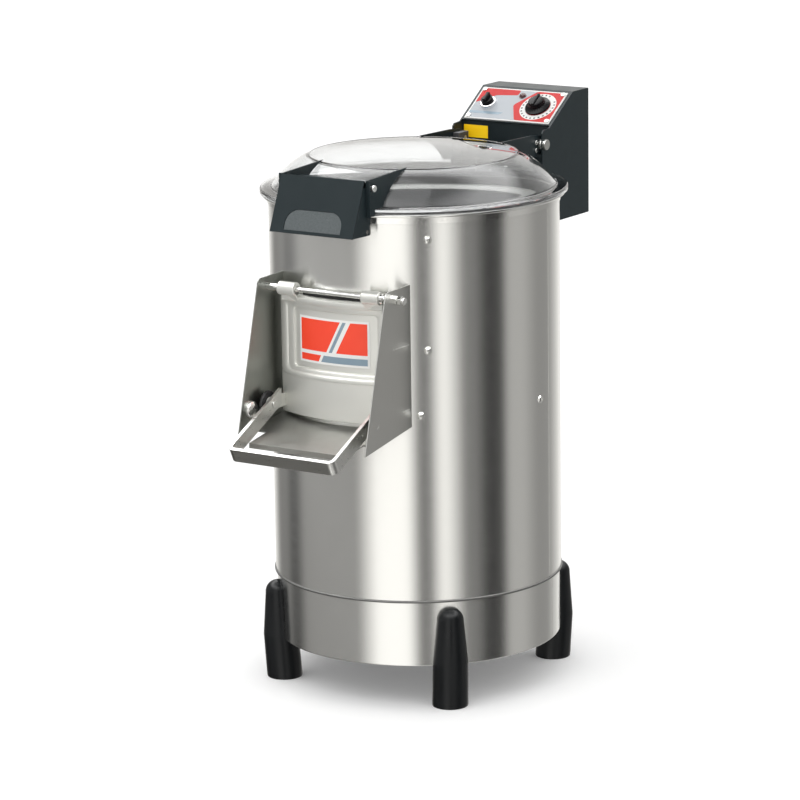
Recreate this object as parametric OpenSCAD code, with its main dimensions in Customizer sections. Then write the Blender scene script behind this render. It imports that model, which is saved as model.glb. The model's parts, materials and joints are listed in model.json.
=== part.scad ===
// Electric potato peeler: an upright stainless drum with an abrasive disc in
// its bottom, a clear hinged lid, a discharge door in a chute, and a control
// box on the rear. The drum's axis is Z, the floor is z = 0, the chute faces
// -Y and the control box +Y. Millimetres.

/* [Drum] */
// Outer diameter of the drum shell
drum_d = 400; // [380:2:420]
// Sheet thickness of the drum shell
shell_t = 1.5; // [1:0.1:2]
// Height of the shell, from its lower bead to the rim
shell_h = 529; // [520:1:545]
// Height of the base skirt below the shell
skirt_h = 89; // [75:1:105]
// Sheet thickness of the base skirt
skirt_t = 1.5; // [1:0.1:2]
// Height of the skirt's lower edge above the floor
ground_gap = 58; // [45:1:75]
// How far the skirt reaches up inside the shell
lap_h = 18; // [10:1:30]
// Radius of the rolled bead at the shell's lower edge
bead_r = 1.8; // [1.6:0.1:2.4]
// Thickness of the abrasive lining
liner_t = 4.3; // [3:0.1:5]
// Distance of the lining's upper edge below the rim
liner_drop = 14; // [12:1:18]
// Radius of the heads of the lining screws
liner_head_r = 5.5; // [4.5:0.1:6.5]

/* [Rim and lid] */
// How far the rim's rolled edge stands out from the shell
rim_out = 8.7; // [7:0.1:9]
// Thickness of the rim's seat
rim_t = 3; // [2:0.1:4]
// Height of the rim's collar around the shell
collar_h = 9; // [6:1:11]
// Thickness of the lid's gasket
gasket_t = 4; // [3:0.1:5]
// How far the lid's flange stands out from the shell
flange_out = 11.6; // [11:0.1:13]
// Thickness of the lid's flange
flange_t = 4; // [3:0.1:5]
// Depth of the turned-down lip below the flange
lip_h = 3.3; // [2:0.1:3.5]
// How far the foot of the dome lies inside the shell's outside
dome_in = 3.6; // [3:0.1:5]
// Height of the dome above the flange
dome_h = 51.7; // [48:0.1:56]
// Wall of the dome
dome_t = 3; // [2:0.1:4]

/* [Lid hinge] */
// Lid pivot behind the drum's axis, beyond the shell
pivot_out = 25; // [24:1:27]
// Lid pivot above the rim
pivot_up = 40.5; // [38:0.5:43]
// Radius of the lid's pivot bolts
pivot_r = 4; // [3:0.1:5]
// Gap between the hinge bracket and the box's ear on each side
hinge_gap = 5; // [3:0.5:8]
// Sheet thickness of the black brackets
bracket_t = 2; // [1.5:0.1:2.5]

/* [Lid latch] */
// Half width of the latch cover
latch_half = 66; // [60:1:70]
// Latch pin in front of the shell
latch_pin_out = 11; // [10.6:0.1:12]
// Latch pin above the rim
latch_pin_up = 42; // [40:0.5:44]
// Radius of the latch pin
latch_pin_r = 3; // [2.5:0.1:3.2]
// Length of the latch cover down its slope
latch_len = 79; // [76:1:82]
// Slope of the latch cover from upright, in degrees
latch_tilt = 22.7; // [21:0.1:24]
// Width of the thumb pad
pad_w = 90; // [70:1:100]
// Height of the thumb pad
pad_h = 29; // [24:1:32]
// Radius of the thumb pad's upper corners
pad_r = 20; // [15:1:22]

/* [Chute] */
// How far each cheek stands outside the handle's arm
cheek_side = 18; // [17.5:0.5:22]
// Sheet thickness of the chute
chute_t = 1.5; // [1:0.1:2]
// How far the cheeks' upper front corners stand out from the shell
cheek_top_out = 32; // [30:1:36]
// How far the cheeks' lower front corners stand out from the shell
cheek_low_out = 85; // [82:1:90]
// How far the tray's front edge stands out from the shell
tray_out = 93; // [91:1:96]
// Height of the tray's back above the shell's bead
tray_up = 242; // [240:0.5:244]
// Fall of the tray from back to front
tray_fall = 15; // [13:0.5:17]

/* [Discharge door] */
// How far each side of the door lies outside the handle's arm
door_side = 9; // [8:0.5:12]
// Height of the door casting
door_h = 165; // [162:1:168]
// Gap between the tray and the door's lower edge
door_gap = 8; // [7:0.5:10]
// How far the door's frame stands out from the shell
door_out = 14; // [12:0.5:16]
// Thickness of the rubber seal behind the door
seal_t = 2.7; // [2:0.1:3.5]
// Width of the opening that the door closes
opening_w = 156; // [140:1:160]
// Height of the opening that the door closes
opening_h = 137; // [125:1:139]
// Half width of the door's sunk panel
panel_half = 66; // [60:1:70]
// Height of the door's sunk panel
sunk_h = 80; // [74:1:84]
// Hinge rod in front of the shell
rod_out = 9; // [8.5:0.5:12]
// Hinge rod above the door's upper edge
rod_up = 9; // [8:0.5:12]
// Radius of the hinge rod
rod_r = 3.2; // [2.8:0.1:3.6]

/* [Door handle] */
// Half of the distance across the outside of the handle's arms
arm_half = 85; // [83:0.5:85.5]
// Thickness of the handle's flat bar
bar_t = 5; // [4:0.1:5.5]
// Width of the handle's flat bar
bar_h = 20; // [17:0.5:22]
// Length of the handle from its pivot to its front face
handle_len = 114; // [108:1:120]
// Slope of the lowered handle in degrees
handle_tilt = 25.6; // [24:0.2:28]
// Handle pivot in front of the shell
hinge_out = 29; // [28:0.5:31]
// Handle pivot above the tray's back
hinge_up = 25; // [24:0.5:27]
// Radius of the handle's pivot bolts
bolt_r = 4; // [3.5:0.1:4.5]
// Radius of the rubber buffers beside the arms
buffer_r = 17.5; // [14:0.5:18]
// Radius of the catch studs on the cheeks
stud_r = 11.5; // [9:0.5:12]

/* [Control box] */
// Width of the control box
box_w = 150; // [148:1:156]
// Height of the control box
box_h = 180; // [176:1:190]
// Depth of the control box behind the drum shell
box_back = 147; // [142:1:155]
// Sheet thickness of the control box
box_t = 2; // [1.5:0.1:2.5]
// Length of the panel plate up its slope
plate_l = 66.5; // [63:0.5:69]
// Distance of the panel plate from the box's side
plate_side = 5; // [3:0.5:8]
// Thickness of the panel plate
plate_t = 1.5; // [1:0.1:2]
// Radius of the timer knob's grip
knob_r = 13.5; // [11:0.5:15]
// Height of the timer knob
knob_h = 14; // [11:1:19]
// Radius of the switch's bezel
bezel_r = 13; // [11.5:0.5:14]
// Height of the switch's bezel
bezel_h = 6; // [4:0.5:8]

/* [Feet] */
// Radius of a foot at the floor
foot_r = 25; // [23:0.5:27]
// Radius of a foot at the skirt's lower edge
foot_mid_r = 24; // [22:0.5:25]
// Radius of a foot's round top
foot_top_r = 18; // [16:0.5:19]
// Height of a foot
foot_h = 140; // [130:1:145]
// Distance of a foot's lower end inside the shell's outside
foot_in = 6.5; // [5:0.5:8]
// How far a foot leans out over its height
foot_lean = 7; // [4:0.5:9]
// Radius of the anchor hole under each foot
anchor_r = 5; // [4:0.5:6]
// Depth of the anchor hole under each foot
anchor_l = 30; // [20:1:35]

/* [Drive] */
// Gap between the abrasive disc and the lining
disc_gap = 4; // [3:0.5:10]
// Thickness of the abrasive disc
disc_t = 24; // [20:1:28]
// Gap between the disc's top and the opening's lower edge
disc_drop = 12; // [8:1:16]
// Radius of the main shaft
shaft_r = 12.5; // [10:0.5:15]
// Distance from the floor pan up to the disc
pan_gap = 32; // [30:1:36]
// Gap between the two pulleys
pulley_gap = 14; // [10:1:24]
// Radius of the motor's pulley
small_r = 24; // [20:1:28]
// Width of both pulleys
pulley_w = 20; // [18:1:24]
// Gap between the motor's flange and the shell
motor_gap = 10.5; // [4:0.5:12]
// Gap between the motor and the bearing housing
motor_in = 18; // [17:1:24]
// Height of the motor's body
motor_h = 130; // [110:1:138]
// Radius of the motor's shaft
motor_shaft_r = 7; // [6:0.5:9]

/* [Water] */
// Outer radius of the drain pipe
drain_r = 25; // [20:0.5:27]
// Length of the drain pipe outside the shell
drain_l = 45; // [35:1:60]
// Outer radius of the water inlet
inlet_r = 10; // [8:0.5:12]
// Length of the water inlet outside the shell
inlet_l = 32; // [25:1:40]

/* [Hidden] */

$fn = 96;
eps = 0.5;       // overshoot of a cut
glue = 0.2;      // gap between glued or lapped skins
clear = 0.3;     // gap between pieces that move against each other
run = 0.05;      // radial clearance of a bore that turns on its pin
tap = 0.1;       // radial clearance of a hole around a fixed screw
tilt_x = 90;     // turns Z up to Y

// Levels and radii of the drum
shell_r = drum_d / 2;
shell_ri = shell_r - shell_t;
skirt_r = shell_ri - glue;
seam_z = ground_gap + skirt_h;
rim_z = seam_z + shell_h;
seat_z = rim_z + rim_t + 1;
flange_z = seat_z + clear + gasket_t;
dome_z = flange_z + flange_t;
dome_r = shell_r - dome_in;
flange_r = shell_r + flange_out;
rim_r = shell_r + rim_out;

// Chute and door levels
cheek_half = arm_half + cheek_side;
tray_z = seam_z + tray_up;
tray_y = -(shell_r + tray_out);
slope = tray_fall / tray_out;
function tray_at(y) = tray_z + slope * (y + shell_r);
door_z = tray_z + door_gap;
door_top = door_z + door_h;
door_ri = shell_r + clear + seal_t;
door_ro = shell_r + door_out;
plate_ro = door_ro - 1.5;
pocket_t = 1.6;          // depth of the hollow in the door's back
sunk_r = door_ri + 3.5;
opening_z = door_z + 11;
opening_half = opening_w / 2;
door_half = arm_half + door_side;
sunk_z = door_z + door_h - 18 - sunk_h;
knee_z = sunk_z - 12;
rod_y = -(shell_r + rod_out);
rod_z = door_top + rod_up;
lug_r = 9.3;
lug_far = arm_half - 4;
lug_near = lug_far - 27.5;
lug_bite = 2.5;
lug_back = sqrt(pow(door_ro, 2) - pow(lug_near, 2)) - lug_bite;
rod_end = cheek_half + 13;
cheek_in = cheek_half - chute_t;
cheek_top_z = rod_z + 13.5;
cheek_back_z = rod_z + 15.5;
cheek_low_y = -(shell_r + cheek_low_out);

// Handle
hinge_y = -(shell_r + hinge_out);
hinge_z = tray_z + hinge_up;
arm_in = arm_half - bar_t;
lug_t = 3;
lug_in = arm_half + clear;
buffer_in = lug_in + lug_t + clear;
stud_out = 26;
stud_drop = 4;
stud_z = hinge_z - stud_drop;
stud_y = hinge_y - stud_out;
stud_len = 7.6;
buffer_out = cheek_in - stud_len - clear - 0.1;
bend_r = 10;
arm_back = 17;

// Lid hinge and latch
pivot_y = shell_r + pivot_out;
pivot_z = rim_z + pivot_up;
latch_y = -(shell_r + latch_pin_out);
latch_z = rim_z + latch_pin_up;
cover_top = 11;         // cover's upper edge above the pin
cover_off = 10.5;       // cover's upper edge in front of the pin
cover_t = 2;
strike_x = 51;
bar_r = 3;
cover_low_z = latch_z + cover_top - latch_len * cos(latch_tilt);
strike_out = 12;
bar_y = -(shell_r + strike_out + clear + bar_r + clear);
bar_zc = cover_low_z + 4;
strike_z = bar_zc - 7.5;
hood_in = latch_half + 0.5;
hood_half = hood_in + bracket_t;
ear_half = box_w / 2;
ear_in = ear_half - box_t;
hinge_half = ear_in - hinge_gap;
block_w = 10;
block_in = hinge_half - bracket_t - block_w;

// Control box
box_rear = shell_r + box_back;
box_front = shell_r + 45;
box_z = pivot_z + 65.5 - box_h;
box_top = box_z + box_h;
panel_y = box_front - 6.5;
panel_z = box_top - 44;
panel_end = box_rear - 42.5;
panel_tilt = atan2(box_top - panel_z, panel_end - panel_y);
panel_run = norm([box_top - panel_z, panel_end - panel_y]);
panel_v = 5;             // the plate's front edge, clear of the lid's bracket
plate_v = panel_v + 2;
ear_y = pivot_y - 6;
arm_top = rim_z - 12;
plate_w = box_w - 2 * plate_side;
timer_at = [plate_w / 2 - 33, plate_v + 33];
switch_at = [-plate_w / 2 + 26, plate_v + 31];
lamp_at = [2, plate_v + plate_l - 13.5];
knob_skirt = 7;
bush_r = 5;
spindle_r = 3;
stem_r = 6;
box_screw_r = 2;

// Drive
liner_z = opening_z - 8;
liner_top = rim_z - liner_drop;
liner_h = liner_top - liner_z;
liner_ri = skirt_r - liner_t;
disc_r = liner_ri - disc_gap;
disc_top = opening_z - disc_drop;
disc_z = disc_top - disc_t;
pan_t = 3;
pan_z = disc_z - pan_gap - pan_t;
housing_r = 38;
housing_h = 90;
neck_r = 30;
mount_t = 6;
housing_base_r = 70;
flange_w = 8;           // motor's flange beyond its body
motor_r = (shell_ri - motor_gap - flange_w - housing_r - motor_in) / 2;
shaft_gap = housing_r + motor_in + motor_r;
mount_half = motor_r + 14;
pulley_r = shaft_gap - small_r - pulley_gap;
mount_z = pan_z - motor_h - 26;
pulley_z = mount_z - 30 - pulley_w;
groove_d = 9;
belt_w = 7.6;
belt_h = 8;
belt_gap = 0.5;
shaft_low = pulley_z - 12;
shaft_top = disc_top + 12;
drain_az = -120;
drain_at = shell_ri - drain_r - 35.5;
drain_z = pan_z - 62;
pipe_t = 2;
inlet_az = -150;
inlet_z = rim_z - 76;

// Azimuths from the front and heights of the lining screws
screw_r = 2.9;
screw_rows = [
    [rim_z - 30.5, [-142, -37.8, 37.8, 142]],
    [rim_z - 180, [-142, -37.5, 37.5, 142]],
    [tray_z + 18, [-142, -90, -34.5, 34.5, 90, 142]]];

// ---------------------------------------------------------------- helpers

module tube(ro, ri, h)
    difference() {
        cylinder(r = ro, h = h);
        translate([0, 0, -eps]) cylinder(r = ri, h = h + 2 * eps);
    }

// Builds its children, drawn at the front, at an azimuth from the front
module at_az(az) rotate([0, 0, az]) children();

module both() {
    children();
    mirror([1, 0, 0]) children();
}

// A rod along X from x0 to x1 at the given place in the YZ plane
module xrod(x0, x1, r, y, z)
    translate([x0, y, z]) rotate([0, 90, 0]) cylinder(r = r, h = x1 - x0);

// A sheet drawn in the YZ plane, from x0 to x0 + t
module sheet(x0, t)
    translate([x0, 0, 0]) rotate([90, 0, 90]) linear_extrude(t) children();

// A rod along -Y at an azimuth, from radius r0 to r1
module spoke(az, z, r0, r1, r)
    at_az(az) translate([0, -r0, z]) rotate([tilt_x, 0, 0]) cylinder(r = r, h = r1 - r0);

// A piece of a ring in front of the drum
module front_ring(r0, r1, half, z0, z1)
    intersection() {
        translate([0, 0, z0]) tube(r1, r0, z1 - z0);
        translate([-half, -r1 - eps, z0]) cube([2 * half, r1, z1 - z0]);
    }

// The panel's own frame: X across, Y up the slope, Z out of the panel
module on_panel()
    translate([0, panel_y, panel_z]) rotate([panel_tilt, 0, 0]) children();

// A point of the YZ plane, v up the latch cover and n out of it
function cover_pt(v, n) = [latch_y - cover_off + v * sin(latch_tilt) - n * cos(latch_tilt),
    latch_z + cover_top + v * cos(latch_tilt) + n * sin(latch_tilt)];

// The latch cover's own frame: X across, Y up the cover, Z outwards
module on_cover()
    translate([0, latch_y - cover_off, latch_z + cover_top])
        rotate([90 - latch_tilt, 0, 0]) children();

// Profile of the dome's outside: a flat crown with a rounded shoulder
function dome_rise(r, ro, h) = h * pow(1 - pow(min(r / ro, 1), 6), 1.1);
function dome_curve(ro, h) =
    [for (i = [0:18]) let (r = ro * sin(i * 5)) [r, dome_rise(r, ro, h)]];

module dome_space(grow)
    translate([0, 0, dome_z]) rotate_extrude()
        polygon(concat([[0, -eps]], dome_curve(dome_r + grow, dome_h + grow),
            [[dome_r + grow, -eps]]));

// ------------------------------------------------------------------- drum

module door_opening()
    translate([-opening_half, -shell_r - 10, opening_z])
        cube([opening_w, 80, opening_h]);

module liner_holes()
    for (row = screw_rows, az = row[1])
        spoke(az, row[0], liner_ri - 2, shell_r + 2, screw_r + tap);

module body_shell()
    color("silver") difference() {
        union() {
            translate([0, 0, seam_z]) tube(shell_r, shell_ri, shell_h);
            translate([0, 0, seam_z + bead_r])
                rotate_extrude() translate([shell_r, 0]) circle(r = bead_r, $fn = 32);
        }
        translate([0, 0, seam_z - eps]) cylinder(r = shell_ri, h = shell_h + 1);
        door_opening();
        liner_holes();
        spoke(drain_az, drain_z, shell_ri - 10, shell_r + 10, drain_r + tap);
        spoke(inlet_az, inlet_z, shell_ri - 10, shell_r + 10, inlet_r + tap);
    }

module base_skirt()
    color("silver") difference() {
        union() {
            translate([0, 0, ground_gap]) tube(skirt_r, skirt_r - skirt_t, skirt_h + lap_h);
            translate([0, 0, ground_gap]) tube(skirt_r, skirt_r - 15, skirt_t);
        }
        for (az = [45:90:315])
            spoke(az, foot_bolt_z, skirt_r - 20, skirt_r + 10, foot_bolt_r + tap);
    }

module rim_ring()
    color("lightgray") {
        translate([0, 0, rim_z - collar_h])
            tube(shell_r + 1.4, shell_r + tap, collar_h + 1);
        translate([0, 0, rim_z + 1]) tube(rim_r - 2.2, shell_ri - 1.5, rim_t);
        translate([0, 0, rim_z + 2.2]) rotate_extrude()
            translate([rim_r - 2.2, 0]) circle(r = 2.2, $fn = 32);
    }

module drum_liner()
    color("dimgray") difference() {
        translate([0, 0, liner_z]) tube(skirt_r, liner_ri, liner_h);
        door_opening();
        liner_holes();
        spoke(inlet_az, inlet_z, liner_ri - 10, shell_r + 10, inlet_r + tap);
    }

module liner_screws()
    color("gainsboro")
        for (row = screw_rows, az = row[1]) {
            spoke(az, row[0], liner_ri + 1, shell_r + 1, screw_r);
            at_az(az) translate([0, -shell_r - glue, row[0]]) rotate([tilt_x, 0, 0])
                intersection() {
                    cylinder(r = liner_head_r, h = 4);
                    translate([0, 0, 3.6 - 8]) sphere(r = 8);
                }
        }

module floor_pan()
    color("silver") difference() {
        union() {
            translate([0, 0, pan_z]) cylinder(r = shell_ri - glue, h = pan_t);
            translate([0, 0, pan_z]) tube(shell_ri - glue, shell_ri - glue - shell_t, 14);
        }
        translate([0, 0, pan_z - eps]) cylinder(r = neck_r + tap, h = pan_t + 1);
        at_az(drain_az) translate([0, -drain_at, pan_z - eps])
            cylinder(r = drain_r - pipe_t, h = pan_t + 1);
    }

module drain_run(r, over)
    at_az(drain_az) {
        translate([0, -drain_at, drain_z]) cylinder(r = r, h = pan_z - drain_z + over);
        translate([0, -drain_at, drain_z]) sphere(r = r);
        translate([0, -drain_at, drain_z]) rotate([tilt_x, 0, 0])
            cylinder(r = r, h = shell_r + drain_l - drain_at + over);
    }

module drain_pipe()
    color("gray") difference() {
        union() {
            drain_run(drain_r, 0);
            spoke(drain_az, drain_z, shell_r + 4, shell_r + 8, drain_r + 3);
        }
        drain_run(drain_r - pipe_t, eps);
    }

module water_inlet()
    color("goldenrod") difference() {
        union() {
            spoke(inlet_az, inlet_z, liner_ri, shell_r + inlet_l, inlet_r);
            spoke(inlet_az, inlet_z, shell_r + 1, shell_r + 7, inlet_r + 5);
        }
        spoke(inlet_az, inlet_z, liner_ri - 10, shell_r + inlet_l + 10, inlet_r - 3);
    }

// -------------------------------------------------------------------- feet

foot_bolt_z = ground_gap + 40;
foot_bolt_r = 3;
foot_at = shell_r - foot_in;

// Levels of a foot's widest bend at the skirt's edge and of its round top
foot_bend = ground_gap + 4;
foot_top = foot_h - foot_top_r;

// A leaning foot: two tapers and a round top, hollowed to fit around the skirt
module foot(az)
    color([0.07, 0.07, 0.08]) difference() {
        at_az(az) translate([0, -foot_at, 0]) rotate([atan(foot_lean / foot_top), 0, 0])
            rotate_extrude() polygon(concat(
                [[0, -8], [foot_r, -8], [foot_r, 4], [foot_mid_r, foot_bend]],
                [for (a = [0:10:80]) [foot_top_r * cos(a), foot_top + foot_top_r * sin(a)]],
                [[0, foot_h]]));
        at_az(az) translate([-foot_r - 10, -foot_at - foot_r - 10, -30])
            cube([2 * foot_r + 20, 2 * foot_r + 20, 30]);
        translate([0, 0, ground_gap]) cylinder(r = skirt_r + tap, h = foot_h);
        at_az(az) translate([0, -foot_at, -eps]) cylinder(r = anchor_r, h = anchor_l + eps);
        spoke(az, foot_bolt_z, skirt_r, skirt_r + 12, foot_bolt_r + tap);
    }

module foot_front_right() foot(45);
module foot_front_left() foot(-45);
module foot_rear_right() foot(135);
module foot_rear_left() foot(-135);

module foot_bolts()
    color("gainsboro")
        for (az = [45:90:315]) {
            spoke(az, foot_bolt_z, skirt_r - skirt_t - 5, skirt_r + 11, foot_bolt_r);
            spoke(az, foot_bolt_z, skirt_r - skirt_t - 5, skirt_r - skirt_t - 0.5, 5.5);
        }

// ------------------------------------------------------------------- chute

module cheek_outline()
    difference() {
        union() {
            polygon([[-shell_r + 60, cheek_back_z], [rod_y - 15, cheek_top_z],
                [-(shell_r + cheek_top_out), cheek_top_z - 8],
                [cheek_low_y, tray_at(cheek_low_y) - chute_t],
                [-shell_r + 60, tray_at(-shell_r + 60) - chute_t]]);
            translate([-(shell_r + cheek_top_out) + 8, cheek_top_z - 8]) circle(r = 8);
        }
        translate([rod_y, rod_z]) circle(r = rod_r + tap);
        translate([stud_y, stud_z]) circle(r = bolt_r + tap);
    }

module cheek()
    color("silver") difference() {
        sheet(cheek_in, chute_t) cheek_outline();
        cylinder(r = shell_r + 0.02, h = rim_z);
    }

module cheek_right() cheek();
module cheek_left() mirror([1, 0, 0]) cheek();

module tray_part(half, y0, y1)
    sheet(-half, 2 * half)
        polygon([[y0, tray_at(y0)], [y1, tray_at(y1)],
            [y1, tray_at(y1) - chute_t], [y0, tray_at(y0) - chute_t]]);

module chute_tray()
    color("silver") difference() {
        union() {
            tray_part(cheek_in, -shell_r + 60, -(shell_r + 52));
            tray_part(arm_in - 2, -(shell_r + 50), tray_y);
            translate([-(arm_in - 2), tray_y, tray_at(tray_y) - 7])
                cube([2 * (arm_in - 2), chute_t, 7]);
        }
        cylinder(r = shell_r + 0.02, h = rim_z);
    }

module hinge_rod()
    color("gainsboro") {
        xrod(-rod_end + 10, rod_end, rod_r, rod_y, rod_z);
        xrod(rod_end, rod_end + 3, rod_r + 1.6, rod_y, rod_z);
    }

module nut(x0, h)
    difference() {
        translate([x0, rod_y, rod_z]) rotate([0, 90, 0]) cylinder(r = 6.5, h = h, $fn = 6);
        xrod(x0 - eps, x0 + h + eps, rod_r + tap, rod_y, rod_z);
    }

module collar(x0, x1, r)
    difference() {
        xrod(x0, x1, r, rod_y, rod_z);
        xrod(x0 - eps, x1 + eps, rod_r + tap, rod_y, rod_z);
    }

module rod_fittings()
    color("gray") {
        collar(-cheek_in, -lug_far - clear, 5);
        collar(lug_far + clear, lug_far + 5, 7);
        collar(lug_far + 5.2, cheek_in, 4.8);
        nut(cheek_half, 5.5);
        nut(rod_end - 6, 5);
        nut(-cheek_half - 5.5, 5.5);
    }

module catch_studs()
    color("gainsboro") both() {
        xrod(cheek_in - 0.5, cheek_half, bolt_r, stud_y, stud_z);
        translate([cheek_in, stud_y, stud_z]) rotate([0, -90, 0]) rotate_extrude()
            polygon(concat([[0, 0], [stud_r, 0]],
                [for (a = [0:15:90]) [stud_r * cos(a), 3 + (stud_len - 3) * sin(a)]]));
    }

module latch_strikes()
    color("gainsboro") both() difference() {
        sheet(strike_x - 5, 10)
            polygon([[-shell_r + 20, strike_z], [-(shell_r + strike_out - 4), strike_z],
                [-(shell_r + strike_out), strike_z + 5], [-(shell_r + strike_out), strike_z + 9],
                [-(shell_r + 4), strike_z + 13], [-shell_r + 20, strike_z + 13]]);
        cylinder(r = shell_r + 0.02, h = rim_z);
    }

// ------------------------------------------------------------- control box

module box_side_outline()
    polygon([[box_rear, box_z], [box_rear, box_top], [panel_end, box_top],
        [panel_y, panel_z], [ear_y + 4, panel_z - 1], [ear_y, panel_z - 5],
        [ear_y, arm_top], [shell_r - 40, arm_top], [shell_r - 40, box_z]]);

module box_side()
    difference() {
        sheet(ear_in, box_t) box_side_outline();
        cylinder(r = shell_r + 0.02, h = rim_z);
        xrod(ear_in - eps, ear_half + eps, pivot_r + tap, pivot_y, pivot_z);
    }

module panel_holes()
    on_panel() {
        translate([timer_at[0], timer_at[1], -10]) cylinder(r = bush_r + tap, h = 20);
        translate([switch_at[0], switch_at[1], -10]) cylinder(r = stem_r + 2, h = 20);
        translate([lamp_at[0], lamp_at[1], -10]) cylinder(r = 4 + tap, h = 20);
        for (u = [-1, 1], v = [plate_v + 5, plate_v + plate_l - 5])
            translate([u * (plate_w / 2 - 5), v, -10]) cylinder(r = box_screw_r + tap, h = 20);
    }

module control_box()
    color([0.17, 0.2, 0.22]) difference() {
        union() {
            both() box_side();
            translate([-ear_half, panel_end, box_top - box_t])
                cube([box_w, box_rear - panel_end, box_t]);
            translate([-ear_half, box_front, box_z])
                cube([box_w, box_rear - box_front, box_t]);
            translate([-ear_half, box_front, box_z]) cube([box_w, box_t, panel_z - box_z + 3]);
            on_panel() translate([-ear_half, panel_v, -box_t])
                cube([box_w, panel_run - panel_v, box_t]);
        }
        panel_holes();
        translate([gland_at[0], gland_at[1], box_z - eps]) cylinder(r = gland_r + tap, h = 5);
    }

module box_cover()
    color([0.17, 0.2, 0.22])
        translate([-ear_half, box_rear, box_z]) cube([box_w, box_t, box_h]);

saddle_half = ear_half - 17;

module box_saddle()
    color([0.17, 0.2, 0.22]) difference() {
        translate([-saddle_half, shell_r - 20, box_z + 8])
            cube([2 * saddle_half, box_front - shell_r + 20, arm_top - box_z - 14]);
        translate([-saddle_half + 4, shell_r - 30, box_z + 12])
            cube([2 * saddle_half - 8, box_front - shell_r + 60, arm_top - box_z - 22]);
        cylinder(r = shell_r + 0.02, h = rim_z);
    }

module control_panel()
    color("crimson") difference() {
        on_panel() translate([-plate_w / 2, plate_v, 0]) cube([plate_w, plate_l, plate_t]);
        panel_holes();
    }

module panel_screws()
    color("gainsboro") {
        on_panel() for (u = [-1, 1], v = [plate_v + 5, plate_v + plate_l - 5])
            translate([u * (plate_w / 2 - 5), v, 0]) {
                translate([0, 0, -6]) cylinder(r = box_screw_r, h = plate_t + 6);
                translate([0, 0, plate_t]) cylinder(r = 3.5, h = 1.6);
            }
        for (x = [-ear_half + 8, ear_half - 8], z = [box_z + 10, box_top - 10])
            translate([x, box_rear + box_t, z]) rotate([-90, 0, 0]) cylinder(r = 4, h = 2);
    }

module switch_bezel()
    color("gainsboro") on_panel() translate([switch_at[0], switch_at[1], plate_t])
        difference() {
            cylinder(r = bezel_r, h = bezel_h);
            translate([0, 0, -eps]) cylinder(r = stem_r + 2, h = bezel_h + 1);
        }

module switch_body()
    color("black") on_panel() translate([switch_at[0], switch_at[1], 0])
        difference() {
            union() {
                translate([-14, -14, -box_t - 34]) cube([28, 28, 34]);
                translate([0, 0, -box_t - 1]) cylinder(r = stem_r + 2 - tap, h = 7);
            }
            translate([0, 0, -box_t - 12]) cylinder(r = stem_r + run, h = 30);
        }

module timer_body()
    color("beige") on_panel() translate([timer_at[0], timer_at[1], 0])
        difference() {
            union() {
                translate([-23, -23, -box_t - 32]) cube([46, 46, 32]);
                translate([0, 0, -box_t - 1]) cylinder(r = bush_r, h = 5);
            }
            translate([0, 0, -box_t - 20]) cylinder(r = spindle_r + run, h = 30);
        }

module timer_knob()
    color([0.06, 0.06, 0.07]) on_panel() translate([timer_at[0], timer_at[1], 0]) {
        translate([0, 0, 2.6]) cylinder(r = knob_r + knob_skirt, h = 3);
        translate([0, 0, 5.6]) cylinder(r1 = knob_r, r2 = knob_r - 1.5, h = knob_h - 3);
        translate([0, 0, -box_t - 18]) cylinder(r = spindle_r, h = 25);
    }

module selector_knob()
    color([0.06, 0.06, 0.07]) on_panel() translate([switch_at[0], switch_at[1], 0]) {
        translate([0, 0, -box_t - 10]) cylinder(r = stem_r, h = bezel_h + 14);
        translate([0, 0, plate_t + bezel_h + clear]) cylinder(r = bezel_r - 4, h = 5);
        translate([-3, -bezel_r + 4, plate_t + bezel_h + clear + 4])
            cube([6, 2 * bezel_r - 8, 6]);
    }

module pilot_lamp()
    color([0.4, 0.02, 0.05]) on_panel() translate([lamp_at[0], lamp_at[1], 0]) {
        translate([0, 0, -20]) cylinder(r = 4, h = 20 + plate_t);
        translate([0, 0, plate_t]) cylinder(r = 5.5, h = 1.2);
        translate([0, 0, plate_t]) intersection() {
            cylinder(r = 4.5, h = 5);
            sphere(r = 4.8);
        }
    }

contactor_size = [70, 45, 60];
contactor_up = 30;

module contactor()
    color("gainsboro")
        translate([-contactor_size[0] / 2, box_front + box_t, box_z + contactor_up])
            cube(contactor_size);

gland_side = 30;
gland_back = 37;
gland_at = [-ear_half + gland_side, box_rear - gland_back];
gland_r = 9;

module cable_gland()
    color([0.06, 0.06, 0.07]) translate([gland_at[0], gland_at[1], 0]) difference() {
        union() {
            translate([0, 0, box_z - 20]) cylinder(r = gland_r, h = 20 + box_t + 6);
            translate([0, 0, box_z - 6]) cylinder(r = gland_r + 4, h = 6, $fn = 6);
            translate([0, 0, box_z - 22]) cylinder(r = gland_r + 2.5, h = 14);
        }
        translate([0, 0, box_z - 30]) cylinder(r = gland_r - 4, h = 60);
    }

module pivot_bolts()
    color("gainsboro") both() {
        xrod(block_in, ear_half + 1, pivot_r, pivot_y, pivot_z);
        xrod(ear_half, ear_half + 4.5, 7.5, pivot_y, pivot_z);
        xrod(hinge_half + clear, ear_in, 7.5, pivot_y, pivot_z);
    }

// ------------------------------------------------------------------- drive

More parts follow.
